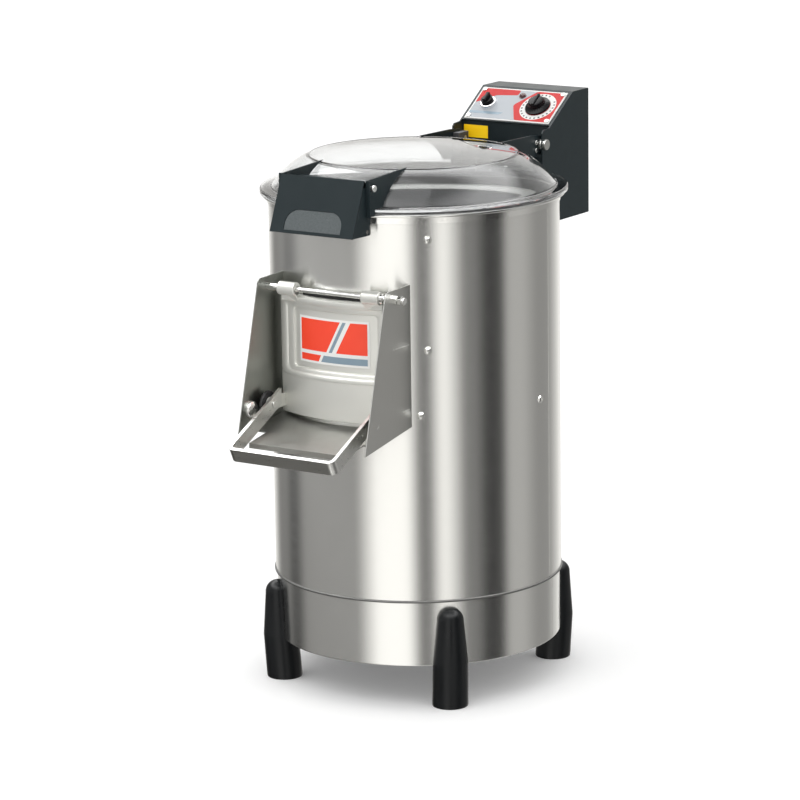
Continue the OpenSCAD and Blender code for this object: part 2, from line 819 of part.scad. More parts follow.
module motor_plate()
    color("gray") difference() {
        union() {
            intersection() {
                translate([0, 0, mount_z]) cylinder(r = shell_ri - glue, h = mount_t);
                translate([-mount_half, -shell_r, mount_z])
                    cube([2 * mount_half, 2 * shell_r, mount_t]);
            }
            intersection() {
                translate([0, 0, mount_z])
                    tube(shell_ri - glue, shell_ri - glue - 4, mount_t + 24);
                translate([-mount_half, -shell_r, mount_z])
                    cube([2 * mount_half, 2 * shell_r, 60]);
            }
        }
        translate([0, 0, mount_z - eps]) cylinder(r = shaft_r + 6, h = mount_t + 1);
        translate([0, shaft_gap, mount_z - eps])
            cylinder(r = motor_shaft_r + 6, h = mount_t + 1);
    }

module motor()
    color([0.25, 0.3, 0.38]) difference() {
        union() {
            translate([0, shaft_gap, mount_z + mount_t]) cylinder(r = motor_r + flange_w, h = 8);
            translate([0, shaft_gap, mount_z + mount_t]) cylinder(r = motor_r, h = motor_h);
            translate([0, shaft_gap, mount_z + mount_t + motor_h])
                cylinder(r = motor_r - 4, h = 8);
            translate([-30, shaft_gap - motor_r - 10, mount_z + mount_t + 50])
                cube([60, 40, 50]);
        }
        translate([0, shaft_gap, mount_z])
            cylinder(r = motor_shaft_r + run, h = mount_t + 40);
    }

module motor_shaft()
    color("gainsboro") translate([0, shaft_gap, pulley_z - 3])
        cylinder(r = motor_shaft_r, h = mount_z + mount_t + 38 - pulley_z);

// A V-belt pulley with the given outer radius and bore
module pulley(r, bore)
    rotate_extrude()
        polygon([[bore, 0], [r, 0], [r, pulley_w / 2 - 7], [r - groove_d, pulley_w / 2 - 4.1],
            [r - groove_d, pulley_w / 2 + 4.1], [r, pulley_w / 2 + 7], [r, pulley_w],
            [bore, pulley_w]]);

module driven_pulley()
    color("dimgray") translate([0, 0, pulley_z]) pulley(pulley_r, shaft_r);

module motor_pulley()
    color("dimgray") translate([0, shaft_gap, pulley_z]) pulley(small_r, motor_shaft_r);

module belt_loop(in)
    hull() {
        circle(r = pulley_r - groove_d + in);
        translate([0, shaft_gap]) circle(r = small_r - groove_d + in);
    }

module drive_belt()
    color([0.1, 0.1, 0.1]) translate([0, 0, pulley_z + (pulley_w - belt_w) / 2])
        linear_extrude(belt_w) difference() {
            belt_loop(belt_gap + belt_h);
            belt_loop(belt_gap);
        }

module bearing_housing()
    color("dimgray") difference() {
        union() {
            translate([0, 0, pan_z - 6]) cylinder(r = housing_base_r, h = 6);
            translate([0, 0, pan_z - housing_h]) cylinder(r = housing_r, h = housing_h);
            translate([0, 0, pan_z - 1]) cylinder(r = neck_r, h = pan_t + 11);
        }
        translate([0, 0, pan_z - housing_h - eps]) cylinder(r = shaft_r + run, h = housing_h + 40);
        translate([0, 0, pan_z - housing_h + 20]) cylinder(r = shaft_r + 6, h = housing_h - 30);
    }

module main_shaft()
    color("gainsboro") {
        translate([0, 0, shaft_low]) cylinder(r = shaft_r, h = shaft_top - shaft_low);
        translate([0, 0, disc_top]) cylinder(r = 20, h = 9, $fn = 6);
    }

module abrasive_disc()
    color("dimgray") difference() {
        union() {
            translate([0, 0, disc_z]) cylinder(r = disc_r, h = disc_t - 4);
            translate([0, 0, disc_z + disc_t - 4])
                cylinder(r1 = disc_r, r2 = disc_r - 6, h = 4);
            translate([0, 0, disc_z - 18]) cylinder(r = 34, h = 19);
            for (a = [0:120:240])
                rotate([0, 0, a]) translate([20, -4, disc_z - 16]) cube([disc_r - 40, 8, 17]);
        }
        difference() {
            translate([0, 0, disc_z - eps]) tube(disc_r - 8, 40, disc_t - 10);
            for (a = [0:60:300])
                rotate([0, 0, a]) translate([20, -4, disc_z - 1]) cube([disc_r, 8, disc_t]);
        }
        translate([0, 0, disc_z - 40]) cylinder(r = shaft_r, h = 100);
    }

// --------------------------------------------------------------------- lid

module lid_dome()
    color([0.85, 0.92, 0.95, 0.4]) difference() {
        union() {
            translate([0, 0, flange_z]) cylinder(r = flange_r - 2.5, h = flange_t);
            translate([0, 0, flange_z - lip_h]) tube(flange_r, flange_r - 2.5, lip_h + 1.5);
            translate([0, 0, flange_z + flange_t - 2.5]) rotate_extrude()
                translate([flange_r - 2.5, 0]) circle(r = 2.5, $fn = 32);
            dome_space(0);
        }
        translate([0, 0, flange_z - lip_h - 1]) cylinder(r = dome_r - dome_t, h = flange_t + lip_h + 1);
        translate([0, 0, dome_z - 0.1]) rotate_extrude()
            polygon(concat([[0, -eps]], dome_curve(dome_r - dome_t, dome_h - dome_t),
                [[dome_r - dome_t, -eps]]));
        for (x = screw_xs, s = [-1, 1])
            translate([x, s * lid_screw_y, flange_z - eps])
                cylinder(r = lid_screw_r + tap, h = flange_t + 1);
    }

screw_xs = [-24, 0, 24];
lid_screw_y = shell_r + 5.8;
lid_screw_r = 2;
lid_head_r = 3.4;
foot_t = 2.5;

module lid_gasket()
    color([0.08, 0.08, 0.08])
        translate([0, 0, seat_z + clear]) tube(shell_r + 1.5, dome_r - dome_t + 1, gasket_t);

module flange_space()
    translate([0, 0, flange_z - lip_h - 1]) cylinder(r = flange_r + glue, h = flange_t + lip_h + 1 + glue);

function hood_at(y) = latch_z + 8 + (y - (latch_y - 6)) * -0.134;

module latch_bracket()
    color([0.17, 0.2, 0.22]) difference() {
        union() {
            both() {
                sheet(hood_in, bracket_t)
                    polygon([[latch_y - 7.5, rim_z + 4], [latch_y - 7.5, latch_z + 11],
                        [-shell_r + 84, latch_z + 15.5], [-shell_r + 84, rim_z + 30],
                        [-shell_r + 30, rim_z + 4]]);
                translate([hood_in, latch_y - 7.5, rim_z + 4])
                    cube([6, bracket_t, latch_z + 7 - rim_z]);
            }
            sheet(-hood_in - 1, 2 * hood_in + 2)
                polygon([[latch_y - 6, hood_at(latch_y - 6)],
                    [-shell_r + 50, hood_at(-shell_r + 50)],
                    [-shell_r + 50, hood_at(-shell_r + 50) - bracket_t],
                    [latch_y - 6, hood_at(latch_y - 6) - bracket_t]]);
            translate([-40, -shell_r - 2, dome_z + glue])
                cube([80, bracket_t, hood_at(-shell_r) - dome_z - 1]);
            intersection() {
                translate([-40, -shell_r - 12, dome_z + glue]) cube([80, 12, foot_t]);
                cylinder(r = flange_r - 1, h = rim_z + 100);
            }
        }
        dome_space(glue);
        flange_space();
        xrod(-hood_half - 1, hood_half + 1, latch_pin_r + tap, latch_y, latch_z);
        for (x = screw_xs)
            translate([x, -lid_screw_y, dome_z]) cylinder(r = lid_screw_r + tap, h = 8);
    }

module latch_pin()
    color("gainsboro") {
        xrod(-hood_half - 4, hood_half + 4, latch_pin_r, latch_y, latch_z);
        both() xrod(hood_half + 4, hood_half + 7.5, latch_pin_r + 1.5, latch_y, latch_z);
    }

module hinge_plate()
    difference() {
        union() {
            sheet(hinge_half - bracket_t, bracket_t)
                polygon([[shell_r - 86, dome_z + glue], [shell_r + 2, dome_z + glue],
                    [pivot_y - 10, pivot_z - 12], [pivot_y, pivot_z - 13], [pivot_y + 13, pivot_z],
                    [pivot_y + 4, pivot_z + 12.4], [pivot_y - 24, pivot_z + 15.3],
                    [shell_r - 86, pivot_z + 17]]);
            xrod(hinge_half - bracket_t, hinge_half, 13, pivot_y, pivot_z);
        }
        xrod(0, hinge_half + eps, pivot_r + run, pivot_y, pivot_z);
        for (up = block_bolts)
            xrod(0, hinge_half + eps, lid_screw_r + tap, pivot_y - 12.5, pivot_z + up);
    }

block_bolts = [-7, 4];

module hinge_bracket()
    color([0.17, 0.2, 0.22]) difference() {
        union() {
            both() hinge_plate();
            intersection() {
                translate([-hinge_half + 1, shell_r - 40, dome_z + glue])
                    cube([2 * hinge_half - 2, 55, foot_t]);
                cylinder(r = flange_r - 1, h = rim_z + 100);
            }
        }
        dome_space(glue);
        for (x = screw_xs)
            translate([x, lid_screw_y, dome_z]) cylinder(r = lid_screw_r + tap, h = 8);
    }

module hinge_blocks()
    color("gray") both() difference() {
        translate([block_in, pivot_y - 18, pivot_z - 14.5])
            cube([block_w - glue, 26, 24]);
        xrod(block_in - 1, hinge_half, pivot_r + run, pivot_y, pivot_z);
        for (up = block_bolts)
            xrod(block_in + 3, hinge_half, lid_screw_r + tap, pivot_y - 12.5, pivot_z + up);
    }

module lid_screws()
    color("gainsboro") {
        for (x = screw_xs, s = [-1, 1]) translate([x, s * lid_screw_y, flange_z]) {
            cylinder(r = lid_screw_r, h = flange_t + foot_t + 1);
            translate([0, 0, flange_t + glue + foot_t]) cylinder(r = lid_head_r, h = 2);
        }
        both() for (up = block_bolts) {
            xrod(block_in + 4, hinge_half + 1, lid_screw_r, pivot_y - 12.5, pivot_z + up);
            xrod(hinge_half, hinge_half + 2.2, lid_head_r, pivot_y - 12.5, pivot_z + up);
        }
    }

// ------------------------------------------------------------------- latch

// Outline of the thumb pad, standing on y = 0
module pad_shape(grow)
    intersection() {
        translate([-pad_w, -grow]) square([2 * pad_w, pad_h + 2 * grow]);
        union() {
            translate([-pad_w / 2 - grow, -grow]) square([pad_w + 2 * grow, pad_h - pad_r + grow]);
            translate([-pad_w / 2 + pad_r, -grow])
                square([pad_w - 2 * pad_r, pad_h + 2 * grow]);
            for (s = [-1, 1])
                translate([s * (pad_w / 2 - pad_r), pad_h - pad_r]) circle(r = pad_r + grow);
        }
    }

module latch_cover()
    color([0.17, 0.2, 0.22]) difference() {
        union() {
            on_cover() translate([-latch_half, -latch_len, -cover_t])
                cube([2 * latch_half, latch_len, cover_t]);
            both() {
                sheet(latch_half - cover_t, cover_t)
                    polygon([cover_pt(-10.5, -1), [latch_y - 2, latch_z + 2.5],
                        [latch_y + 4.6, latch_z - 1.5], [bar_y + bar_r + 3, bar_zc + 3],
                        [bar_y + bar_r + 3, bar_zc - 5], [bar_y - bar_r - 3, bar_zc - 5],
                        cover_pt(-latch_len + 0.3, -1)]);
                xrod(latch_half - cover_t, latch_half, 4.8, latch_y, latch_z);
            }
        }
        xrod(-latch_half - 1, latch_half + 1, latch_pin_r + run, latch_y, latch_z);
        both() xrod(latch_half - cover_t - eps, latch_half + eps, bar_r + tap, bar_y, bar_zc);
        on_cover() translate([0, -latch_len, -cover_t - 1]) linear_extrude(cover_t + 2)
            translate([0, 4]) pad_shape(0);
    }

module thumb_pad()
    color([0.35, 0.37, 0.38]) on_cover()
        translate([0, -latch_len + 4, -cover_t - 1]) linear_extrude(cover_t + 0.4) pad_shape(-tap);

module catch_bar()
    color("gainsboro")
        xrod(-latch_half + 0.2, latch_half - 0.2, bar_r, bar_y, bar_zc);

// -------------------------------------------------------------------- door

module door_lug()
    difference() {
        union() {
            xrod(lug_near, lug_far, lug_r, rod_y, rod_z);
            translate([lug_near, -door_ro, door_top - 6])
                cube([lug_far - lug_near, door_ro - lug_back, rod_up + 6]);
        }
        xrod(lug_near - eps, lug_far + eps, rod_r + run, rod_y, rod_z);
        cylinder(r = shell_r + seal_t, h = rim_z);
    }

module handle_lug()
    difference() {
        union() {
            xrod(lug_in, lug_in + lug_t, 9.5, hinge_y, hinge_z);
            sheet(lug_in, lug_t)
                polygon([[hinge_y, hinge_z - 9.4], [hinge_y, hinge_z + 9.4],
                    [hinge_y + 45, hinge_z + 9.4], [hinge_y + 45, hinge_z - 9.4]]);
        }
        xrod(lug_in - eps, lug_in + lug_t + eps, bolt_r + tap, hinge_y, hinge_z);
        cylinder(r = door_ri + 1, h = rim_z);
    }

module door_casting()
    color([0.85, 0.86, 0.85]) {
        difference() {
            union() {
                front_ring(door_ri, plate_ro, door_half - 0.4, door_z, knee_z + 6);
                front_ring(door_ri, door_ro, door_half, knee_z, door_top);
            }
            front_ring(sunk_r, door_ro + 5, panel_half, sunk_z, sunk_z + sunk_h);
            front_ring(door_ro - 4, door_ro + 5, panel_half + 5, sunk_z - 5, sunk_z + sunk_h + 5);
            front_ring(door_ri - 1, door_ri + pocket_t, opening_half - 8, opening_z + 2,
                sunk_z + sunk_h + 4);
        }
        both() door_lug();
        both() handle_lug();
    }

module door_seal()
    color([0.12, 0.12, 0.12]) difference() {
        front_ring(shell_r + clear, door_ri, door_half - 6, door_z + 2, door_top - 3);
        translate([-opening_half + 2, -shell_r - 10, opening_z + 2])
            cube([opening_w - 4, 80, opening_h - 4]);
    }

module door_label()
    color("red") front_ring(sunk_r, sunk_r + 0.6, panel_half - 10, sunk_z + 8, sunk_z + sunk_h - 9);

module handle_bolts()
    color("gainsboro") both() {
        xrod(arm_in - 1, buffer_in + 3, bolt_r, hinge_y, hinge_z);
        xrod(arm_in - clear - 1.6, arm_in - clear, 5.5, hinge_y, hinge_z);
    }

module buffers()
    color([0.06, 0.06, 0.07]) both() difference() {
        xrod(buffer_in, buffer_out, buffer_r, hinge_y, hinge_z);
        xrod(buffer_in - eps, buffer_out + eps, bolt_r + tap, hinge_y, hinge_z);
    }

// The handle's own frame: X across, Y back along its arms, Z up across its flat bar
module on_handle()
    translate([0, hinge_y, hinge_z]) rotate([handle_tilt, 0, 0])
        translate([0, 0, -bar_h / 2]) children();

module handle_arm()
    difference() {
        on_handle() translate([arm_in, -handle_len + bend_r, 0])
            cube([bar_t, handle_len - bend_r + arm_back + bar_h, bar_h]);
        translate([arm_in - 1, hinge_y + arm_back, hinge_z - bar_h])
            cube([bar_t + 2, 2 * bar_h, 3 * bar_h]);
        xrod(arm_in - eps, arm_half + eps, bolt_r + run, hinge_y, hinge_z);
    }

module handle_bend()
    on_handle() intersection() {
        translate([arm_half - bend_r, -handle_len + bend_r, 0])
            tube(bend_r, bend_r - bar_t, bar_h);
        translate([arm_half - bend_r, -handle_len, 0]) cube([bend_r, bend_r, bar_h]);
    }

module door_handle()
    color("gray") {
        both() {
            handle_arm();
            handle_bend();
        }
        on_handle() translate([-arm_half + bend_r, -handle_len, 0])
            cube([2 * (arm_half - bend_r), bar_t, bar_h]);
    }

// ------------------------------------------------------------------- nodes

body_shell();
base_skirt();
rim_ring();
drum_liner();
floor_pan();
drain_pipe();
water_inlet();
foot_front_right();
foot_front_left();
foot_rear_right();
foot_rear_left();
foot_bolts();
liner_screws();
cheek_right();
cheek_left();
chute_tray();
hinge_rod();
rod_fittings();
catch_studs();
latch_strikes();
control_box();
box_cover();
box_saddle();
control_panel();
panel_screws();
switch_bezel();
switch_body();
timer_body();
pilot_lamp();
contactor();
cable_gland();
pivot_bolts();
motor();
motor_plate();
bearing_housing();
drive_belt();
lid_dome();
lid_gasket();
latch_bracket();
latch_pin();
hinge_bracket();
hinge_blocks();
lid_screws();
latch_cover();
thumb_pad();
catch_bar();
door_casting();
door_seal();
door_label();
handle_bolts();
buffers();
door_handle();
abrasive_disc();
main_shaft();
driven_pulley();
motor_shaft();
motor_pulley();
timer_knob();
selector_knob();
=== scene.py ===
# Electric potato peeler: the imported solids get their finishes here, and the pieces whose
# surface shows more than the solids hold are modelled in the same frame.
import json
import math

import bmesh
import bpy
from mathutils import Matrix, Vector


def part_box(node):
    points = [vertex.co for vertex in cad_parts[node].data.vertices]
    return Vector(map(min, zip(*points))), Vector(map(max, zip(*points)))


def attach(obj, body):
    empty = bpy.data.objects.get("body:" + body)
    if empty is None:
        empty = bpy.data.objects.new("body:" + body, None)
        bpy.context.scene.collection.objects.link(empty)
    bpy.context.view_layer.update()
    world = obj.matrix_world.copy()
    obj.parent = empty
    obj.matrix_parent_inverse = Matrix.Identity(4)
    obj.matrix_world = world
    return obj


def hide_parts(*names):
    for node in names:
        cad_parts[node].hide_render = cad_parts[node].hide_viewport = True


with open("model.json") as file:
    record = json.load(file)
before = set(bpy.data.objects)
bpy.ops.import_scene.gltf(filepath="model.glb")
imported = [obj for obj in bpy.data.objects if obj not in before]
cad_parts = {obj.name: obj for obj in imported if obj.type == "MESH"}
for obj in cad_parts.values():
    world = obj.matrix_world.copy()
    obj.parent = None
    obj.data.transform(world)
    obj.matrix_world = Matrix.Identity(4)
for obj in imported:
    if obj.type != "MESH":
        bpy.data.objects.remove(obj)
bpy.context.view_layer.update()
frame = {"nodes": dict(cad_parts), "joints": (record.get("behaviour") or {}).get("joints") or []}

scene = bpy.context.scene
nodes = frame["nodes"]
mm = 0.001

# Camera: a long lens a little higher than the lid, to the right of the chute. It looks slightly
# down at the machine and is rolled by less than a degree.
camera_data = bpy.data.cameras.new("camera")
camera_data.lens = 165.06
camera_data.sensor_width = 36
camera = bpy.data.objects.new("camera", camera_data)
scene.collection.objects.link(camera)
camera_place = Vector((2.700, -4.176, 1.514))
view_line = Vector((-0.5332, 0.8164, -0.2216)).normalized()
camera_roll = math.radians(-0.81)
level = view_line.cross(Vector((0, 0, 1))).normalized()
upright = level.cross(view_line)
right = level * math.cos(camera_roll) + upright * math.sin(camera_roll)
up = upright * math.cos(camera_roll) - level * math.sin(camera_roll)
camera_axes = Matrix((right, up, -view_line)).transposed().to_4x4()
camera.matrix_world = Matrix.Translation(camera_place) @ camera_axes
scene.camera = camera
scene.view_settings.view_transform = "Standard"

# Studio: a plain white room. Upright soft boxes and dark flags stand round the machine, and
# only reflections see them; everything else is lit by the even white of the room. The boxes on
# the left grow brighter upwards, and a ring of soft light hangs round the ceiling.
# Each panel is (from, to, brightness), in degrees round the machine from the camera.
panels = (
    (-180, -166, 1.00),
    (-146, -130, 0.22),
    (-122, -114, 0.07),
    (-103, -50, 0.31),
    (-33, -8, 1.36),
    (2, 9, 0.17),
    (19, 24, 1.20),
    (39, 48, 0.23),
    (58, 71, 0.04),
    (79, 94, 0.52),
    (112, 130, 0.32),
    (160, 180, 1.00),
)
brightest = 2.0
warm_white = (1, 0.985, 0.955)
room_light = 1.0
ceiling_glow = 5.0
ceiling_middle = 0.9
camera_turn = math.degrees(math.atan2(-camera_place.y, camera_place.x))
world = bpy.data.worlds.new("studio")
scene.world = world
world.use_nodes = True
sky = world.node_tree


def sky_node(kind, **inputs):
    """A node of the studio, with its inputs set"""
    made = sky.nodes.new(kind)
    for name, value in inputs.items():
        made.inputs[name.replace("_", " ")].default_value = value
    return made


def math_node(tree, operation, first, second):
    """A math node on two numbers or outputs"""
    made = tree.nodes.new("ShaderNodeMath")
    made.operation = operation
    for socket, value in zip(made.inputs, (first, second)):
        if isinstance(value, (int, float)):
            socket.default_value = value
        else:
            tree.links.new(value, socket)
    return made.outputs[0]


def sky_mix(share, first, second):
    """Light that goes from the first to the second as the share grows"""
    made = sky.nodes.new("ShaderNodeMix")
    made.data_type = "RGBA"
    for socket, value in ((made.inputs[0], share), (made.inputs[6], first), (made.inputs[7], second)):
        if isinstance(value, tuple):
            socket.default_value = value
        else:
            sky.links.new(value, socket)
    return made.outputs[2]


direction = sky_node("ShaderNodeTexCoord")
turned_sky = sky_node("ShaderNodeMapping", Rotation=(0, 0, math.radians(camera_turn)))
parts = sky_node("ShaderNodeSeparateXYZ")
sky.links.new(direction.outputs["Generated"], turned_sky.inputs["Vector"])
sky.links.new(turned_sky.outputs["Vector"], parts.inputs["Vector"])
bearing = math_node(sky, "ARCTAN2", parts.outputs["Y"], parts.outputs["X"])
round_room = math_node(sky, "MULTIPLY_ADD", bearing, 1 / math.tau)
round_room.node.inputs[2].default_value = 0.5
bands = sky.nodes.new("ShaderNodeValToRGB")
sky.links.new(round_room, bands.inputs["Fac"])
stops = bands.color_ramp.elements
for start, end, glow in panels:
    for angle in (start, end):
        stop = stops[0] if angle == -180 else stops[-1] if angle == 180 else stops.new((angle + 180) / 360)
        stop.color = (*(glow / brightest * channel for channel in warm_white), 1)
wall_glow = sky.nodes.new("ShaderNodeVectorMath")
wall_glow.operation = "SCALE"
wall_glow.inputs["Scale"].default_value = brightest
sky.links.new(bands.outputs["Color"], wall_glow.inputs[0])
# The left of the room lies between bearings in radians, and its rise between two heights of the
# view's direction, from -1 straight down to 1 straight up. So does the ring of the ceiling.
left_side = sky_node("ShaderNodeMapRange", From_Min=-2.6, From_Max=-2.0)
left_end = sky_node("ShaderNodeMapRange", From_Min=-0.6, From_Max=-1.0)
upwards = sky_node("ShaderNodeMapRange", From_Min=-0.31, From_Max=-0.08, To_Min=-0.14, To_Max=0.42)
for ranged, value in ((left_side, bearing), (left_end, bearing), (upwards, parts.outputs["Z"])):
    sky.links.new(value, ranged.inputs["Value"])
on_left = math_node(sky, "MULTIPLY", left_side.outputs["Result"], left_end.outputs["Result"])
left_rise = math_node(sky, "MULTIPLY", on_left, upwards.outputs["Result"])
walls = sky.nodes.new("ShaderNodeVectorMath")
sky.links.new(wall_glow.outputs[0], walls.inputs[0])
sky.links.new(left_rise, walls.inputs[1])
overhead = sky_node("ShaderNodeMapRange", From_Min=0.56, From_Max=0.7)
ceiling_end = sky_node("ShaderNodeMapRange", From_Min=0.84, From_Max=0.94, To_Min=ceiling_glow,
    To_Max=ceiling_middle)
for ranged in (overhead, ceiling_end):
    sky.links.new(parts.outputs["Z"], ranged.inputs["Value"])
mirrored = sky_mix(overhead.outputs["Result"], walls.outputs[0], ceiling_end.outputs["Result"])
ray = sky_node("ShaderNodeLightPath")
lit = sky_mix(ray.outputs["Is Glossy Ray"], (room_light, room_light, room_light, 1), mirrored)
seen_direct = math_node(sky, "MAXIMUM", ray.outputs["Is Camera Ray"], ray.outputs["Is Transmission Ray"])
sky.links.new(sky_mix(seen_direct, lit, (1, 1, 1, 1)), sky.nodes["Background"].inputs["Color"])

lamp_data = bpy.data.lights.new("overhead_lamp", "SUN")
lamp_data.energy = 0.55
lamp_data.angle = math.radians(60)
lamp = bpy.data.objects.new("overhead_lamp", lamp_data)
lamp.rotation_euler = (math.radians(18), math.radians(-14), 0)
scene.collection.objects.link(lamp)

# Drum shell: stainless sheet rolled to a cylinder, with a rolled bead at its lower edge, the
# discharge opening in front, and a welded seam up its right side. Brushed round the drum.
shell_low, shell_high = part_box("body_shell")
rim_high = shell_high.z
bead_radius = 1.8 * mm
shell_radius = 200 * mm
shell_sheet = 1.5 * mm
opening_half = 78 * mm
opening_low = 408 * mm
opening_high = 545 * mm


def wall(mesh, radius, levels, start, end, steps):
    """A wall round Z through the given levels, from one azimuth to another; 0 is the front"""
    column = [mesh.verts.new((radius * math.sin(start), -radius * math.cos(start), z)) for z in levels]
    edges = [mesh.edges.new(pair) for pair in zip(column, column[1:])]
    bmesh.ops.spin(mesh, geom=column + edges, axis=(0, 0, 1), angle=end - start, steps=steps)


def drum_wall(radius, bottom, top):
    """A full turn of wall with the discharge opening left out of its front"""
    mesh = bmesh.new()
    side = math.asin(opening_half / radius)
    wall(mesh, radius, (bottom, opening_low, opening_high, top), side, math.tau - side, 210)
    wall(mesh, radius, (bottom, opening_low), -side, side, 30)
    wall(mesh, radius, (opening_high, top), -side, side, 30)
    bmesh.ops.remove_doubles(mesh, verts=mesh.verts, dist=1e-5)
    bmesh.ops.recalc_face_normals(mesh, faces=mesh.faces)
    first = next(iter(mesh.faces))
    if first.normal.xy.dot(first.calc_center_median().xy) < 0:
        bmesh.ops.reverse_faces(mesh, faces=mesh.faces)
    return mesh


def turned(outline, steps=180):
    """A mesh turned full circle about Z from a closed outline of (radius, height) points"""
    mesh = bmesh.new()
    points = [mesh.verts.new((radius, 0, height)) for radius, height in outline]
    edges = [mesh.edges.new(pair) for pair in zip(points, points[1:] + points[:1])]
    bmesh.ops.spin(mesh, geom=points + edges, axis=(0, 0, 1), angle=math.tau, steps=steps, use_merge=True)
    bmesh.ops.remove_doubles(mesh, verts=mesh.verts, dist=1e-6)
    bmesh.ops.recalc_face_normals(mesh, faces=mesh.faces)
    return mesh


def arc(centre, radius, start, end, count):
    """Points of an arc in an outline, from one angle to another in degrees"""
    angles = [math.radians(start + (end - start) * i / count) for i in range(count + 1)]
    return [(centre[0] + radius * math.cos(a), centre[1] + radius * math.sin(a)) for a in angles]


def finish(name, colour, roughness, metallic=0.0, specular=0.5):
    """A material and its shader, ready for its pattern"""
    material = bpy.data.materials.new(name)
    material.use_nodes = True
    shader = material.node_tree.nodes["Principled BSDF"]
    shader.inputs["Base Color"].default_value = (*colour, 1)
    shader.inputs["Roughness"].default_value = roughness
    shader.inputs["Metallic"].default_value = metallic
    shader.inputs["Specular IOR Level"].default_value = specular
    return material, shader


def pattern(material, scale, stretch=(1, 1, 1), detail=3.0, source=None):
    """Noise on the piece's own coordinates, drawn out along its grain"""
    tree = material.node_tree
    source = source or tree.nodes.new("ShaderNodeTexCoord").outputs["Object"]
    mapping = tree.nodes.new("ShaderNodeMapping")
    mapping.inputs["Scale"].default_value = stretch
    noise = tree.nodes.new("ShaderNodeTexNoise")
    noise.inputs["Scale"].default_value = scale
    noise.inputs["Detail"].default_value = detail
    tree.links.new(source, mapping.inputs["Vector"])
    tree.links.new(mapping.outputs["Vector"], noise.inputs["Vector"])
    return noise.outputs["Fac"]


def spread(material, value, low, high, socket, start=0.3, stop=0.7):
    """Feeds a pattern, which runs from start to stop, to a socket as a value from low to high"""
    ranged = material.node_tree.nodes.new("ShaderNodeMapRange")
    for name, bound in (("From Min", start), ("From Max", stop), ("To Min", low), ("To Max", high)):
        ranged.inputs[name].default_value = bound
    material.node_tree.links.new(value, ranged.inputs["Value"])
    material.node_tree.links.new(ranged.outputs["Result"], socket)


def sheen(material, shader, value, low, high):
    """Feeds a pattern to the roughness, from low to high"""
    spread(material, value, low, high, shader.inputs["Roughness"])


def tint(material, shader, value, dark, light, start=0.3, stop=0.7):
    """Feeds a pattern to the base colour, between two colours"""
    mix = material.node_tree.nodes.new("ShaderNodeMix")
    mix.data_type = "RGBA"
    mix.inputs[6].default_value = (*dark, 1)
    mix.inputs[7].default_value = (*light, 1)
    spread(material, value, 0, 1, mix.inputs[0], start, stop)
    material.node_tree.links.new(mix.outputs[2], shader.inputs["Base Color"])


def mottled(name, colour, roughness, metallic, scale, low, high, detail=3.0):
    """A finish whose roughness wanders from low to high over a noise of that scale"""
    material, shader = finish(name, colour, roughness, metallic)
    sheen(material, shader, pattern(material, scale, detail=detail), low, high)
    return material


def relief(material, shader, value, depth):
    """Feeds a pattern to the surface's bump, depth in metres"""
    bump = material.node_tree.nodes.new("ShaderNodeBump")
    bump.inputs["Distance"].default_value = depth
    material.node_tree.links.new(value, bump.inputs["Height"])
    material.node_tree.links.new(bump.outputs["Normal"], shader.inputs["Normal"])


def round_the_drum(material):
    """Coordinates that follow a sheet rolled round Z: along the arc, and up"""
    tree = material.node_tree
    place = tree.nodes.new("ShaderNodeTexCoord")
    apart = tree.nodes.new("ShaderNodeSeparateXYZ")
    together = tree.nodes.new("ShaderNodeCombineXYZ")
    tree.links.new(place.outputs["Object"], apart.inputs[0])
    bearing = math_node(tree, "ARCTAN2", apart.outputs["Y"], apart.outputs["X"])
    tree.links.new(math_node(tree, "MULTIPLY", bearing, shell_radius), together.inputs["X"])
    tree.links.new(apart.outputs["Z"], together.inputs["Z"])
    return together.outputs[0]


def round_off(mesh, width, segments=3):
    """Rounds every edge that bends by more than 30 degrees"""
    sharp = math.radians(30)
    edges = [e for e in mesh.edges if len(e.link_faces) == 2 and e.calc_face_angle() > sharp]
    bmesh.ops.bevel(mesh, geom=edges, offset=width, affect="EDGES", segments=segments, profile=0.5,
        clamp_overlap=True, material=-1)


def runs_on(bend, sharp):
    """Whether shading runs on over an edge; it stops between a broad flat face and a narrow one"""
    if len(bend.link_faces) != 2:
        return False
    angle = math.degrees(bend.calc_face_angle())
    small, large = sorted(face.calc_area() for face in bend.link_faces)
    return angle < sharp and (angle < 1 or large < 20 * small)


def piece(name, mesh, material, body, slot, *stands_for, edge=0.0, sharp=35):
    """Makes an object of a mesh, with rounded edges if edge is given, and ties it to the frame"""
    if edge:
        round_off(mesh, edge)
    for face in mesh.faces:
        face.smooth = True
    for bend in mesh.edges:
        bend.smooth = runs_on(bend, sharp)
    data = bpy.data.meshes.new(name)
    mesh.to_mesh(data)
    mesh.free()
    data.materials.append(material)
    made = bpy.data.objects.new(name, data)
    scene.collection.objects.link(made)
    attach(made, body)
    if stands_for:
        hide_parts(*stands_for)
    return made


drum_steel, drum_shader = finish("brushed_drum_steel", (0.75, 0.75, 0.73), 0.3, 1.0)
drum_shader.inputs["Anisotropic"].default_value = 0.8
drum_shader.inputs["Anisotropic Rotation"].default_value = 0.25
around = drum_steel.node_tree.nodes.new("ShaderNodeTangent")
around.axis = "Z"
drum_steel.node_tree.links.new(around.outputs["Tangent"], drum_shader.inputs["Tangent"])
drum_grain = pattern(drum_steel, 900, (0.04, 1, 1), 4, round_the_drum(drum_steel))
sheen(drum_steel, drum_shader, drum_grain, 0.21, 0.27)
relief(drum_steel, drum_shader, drum_grain, 0.004 * mm)

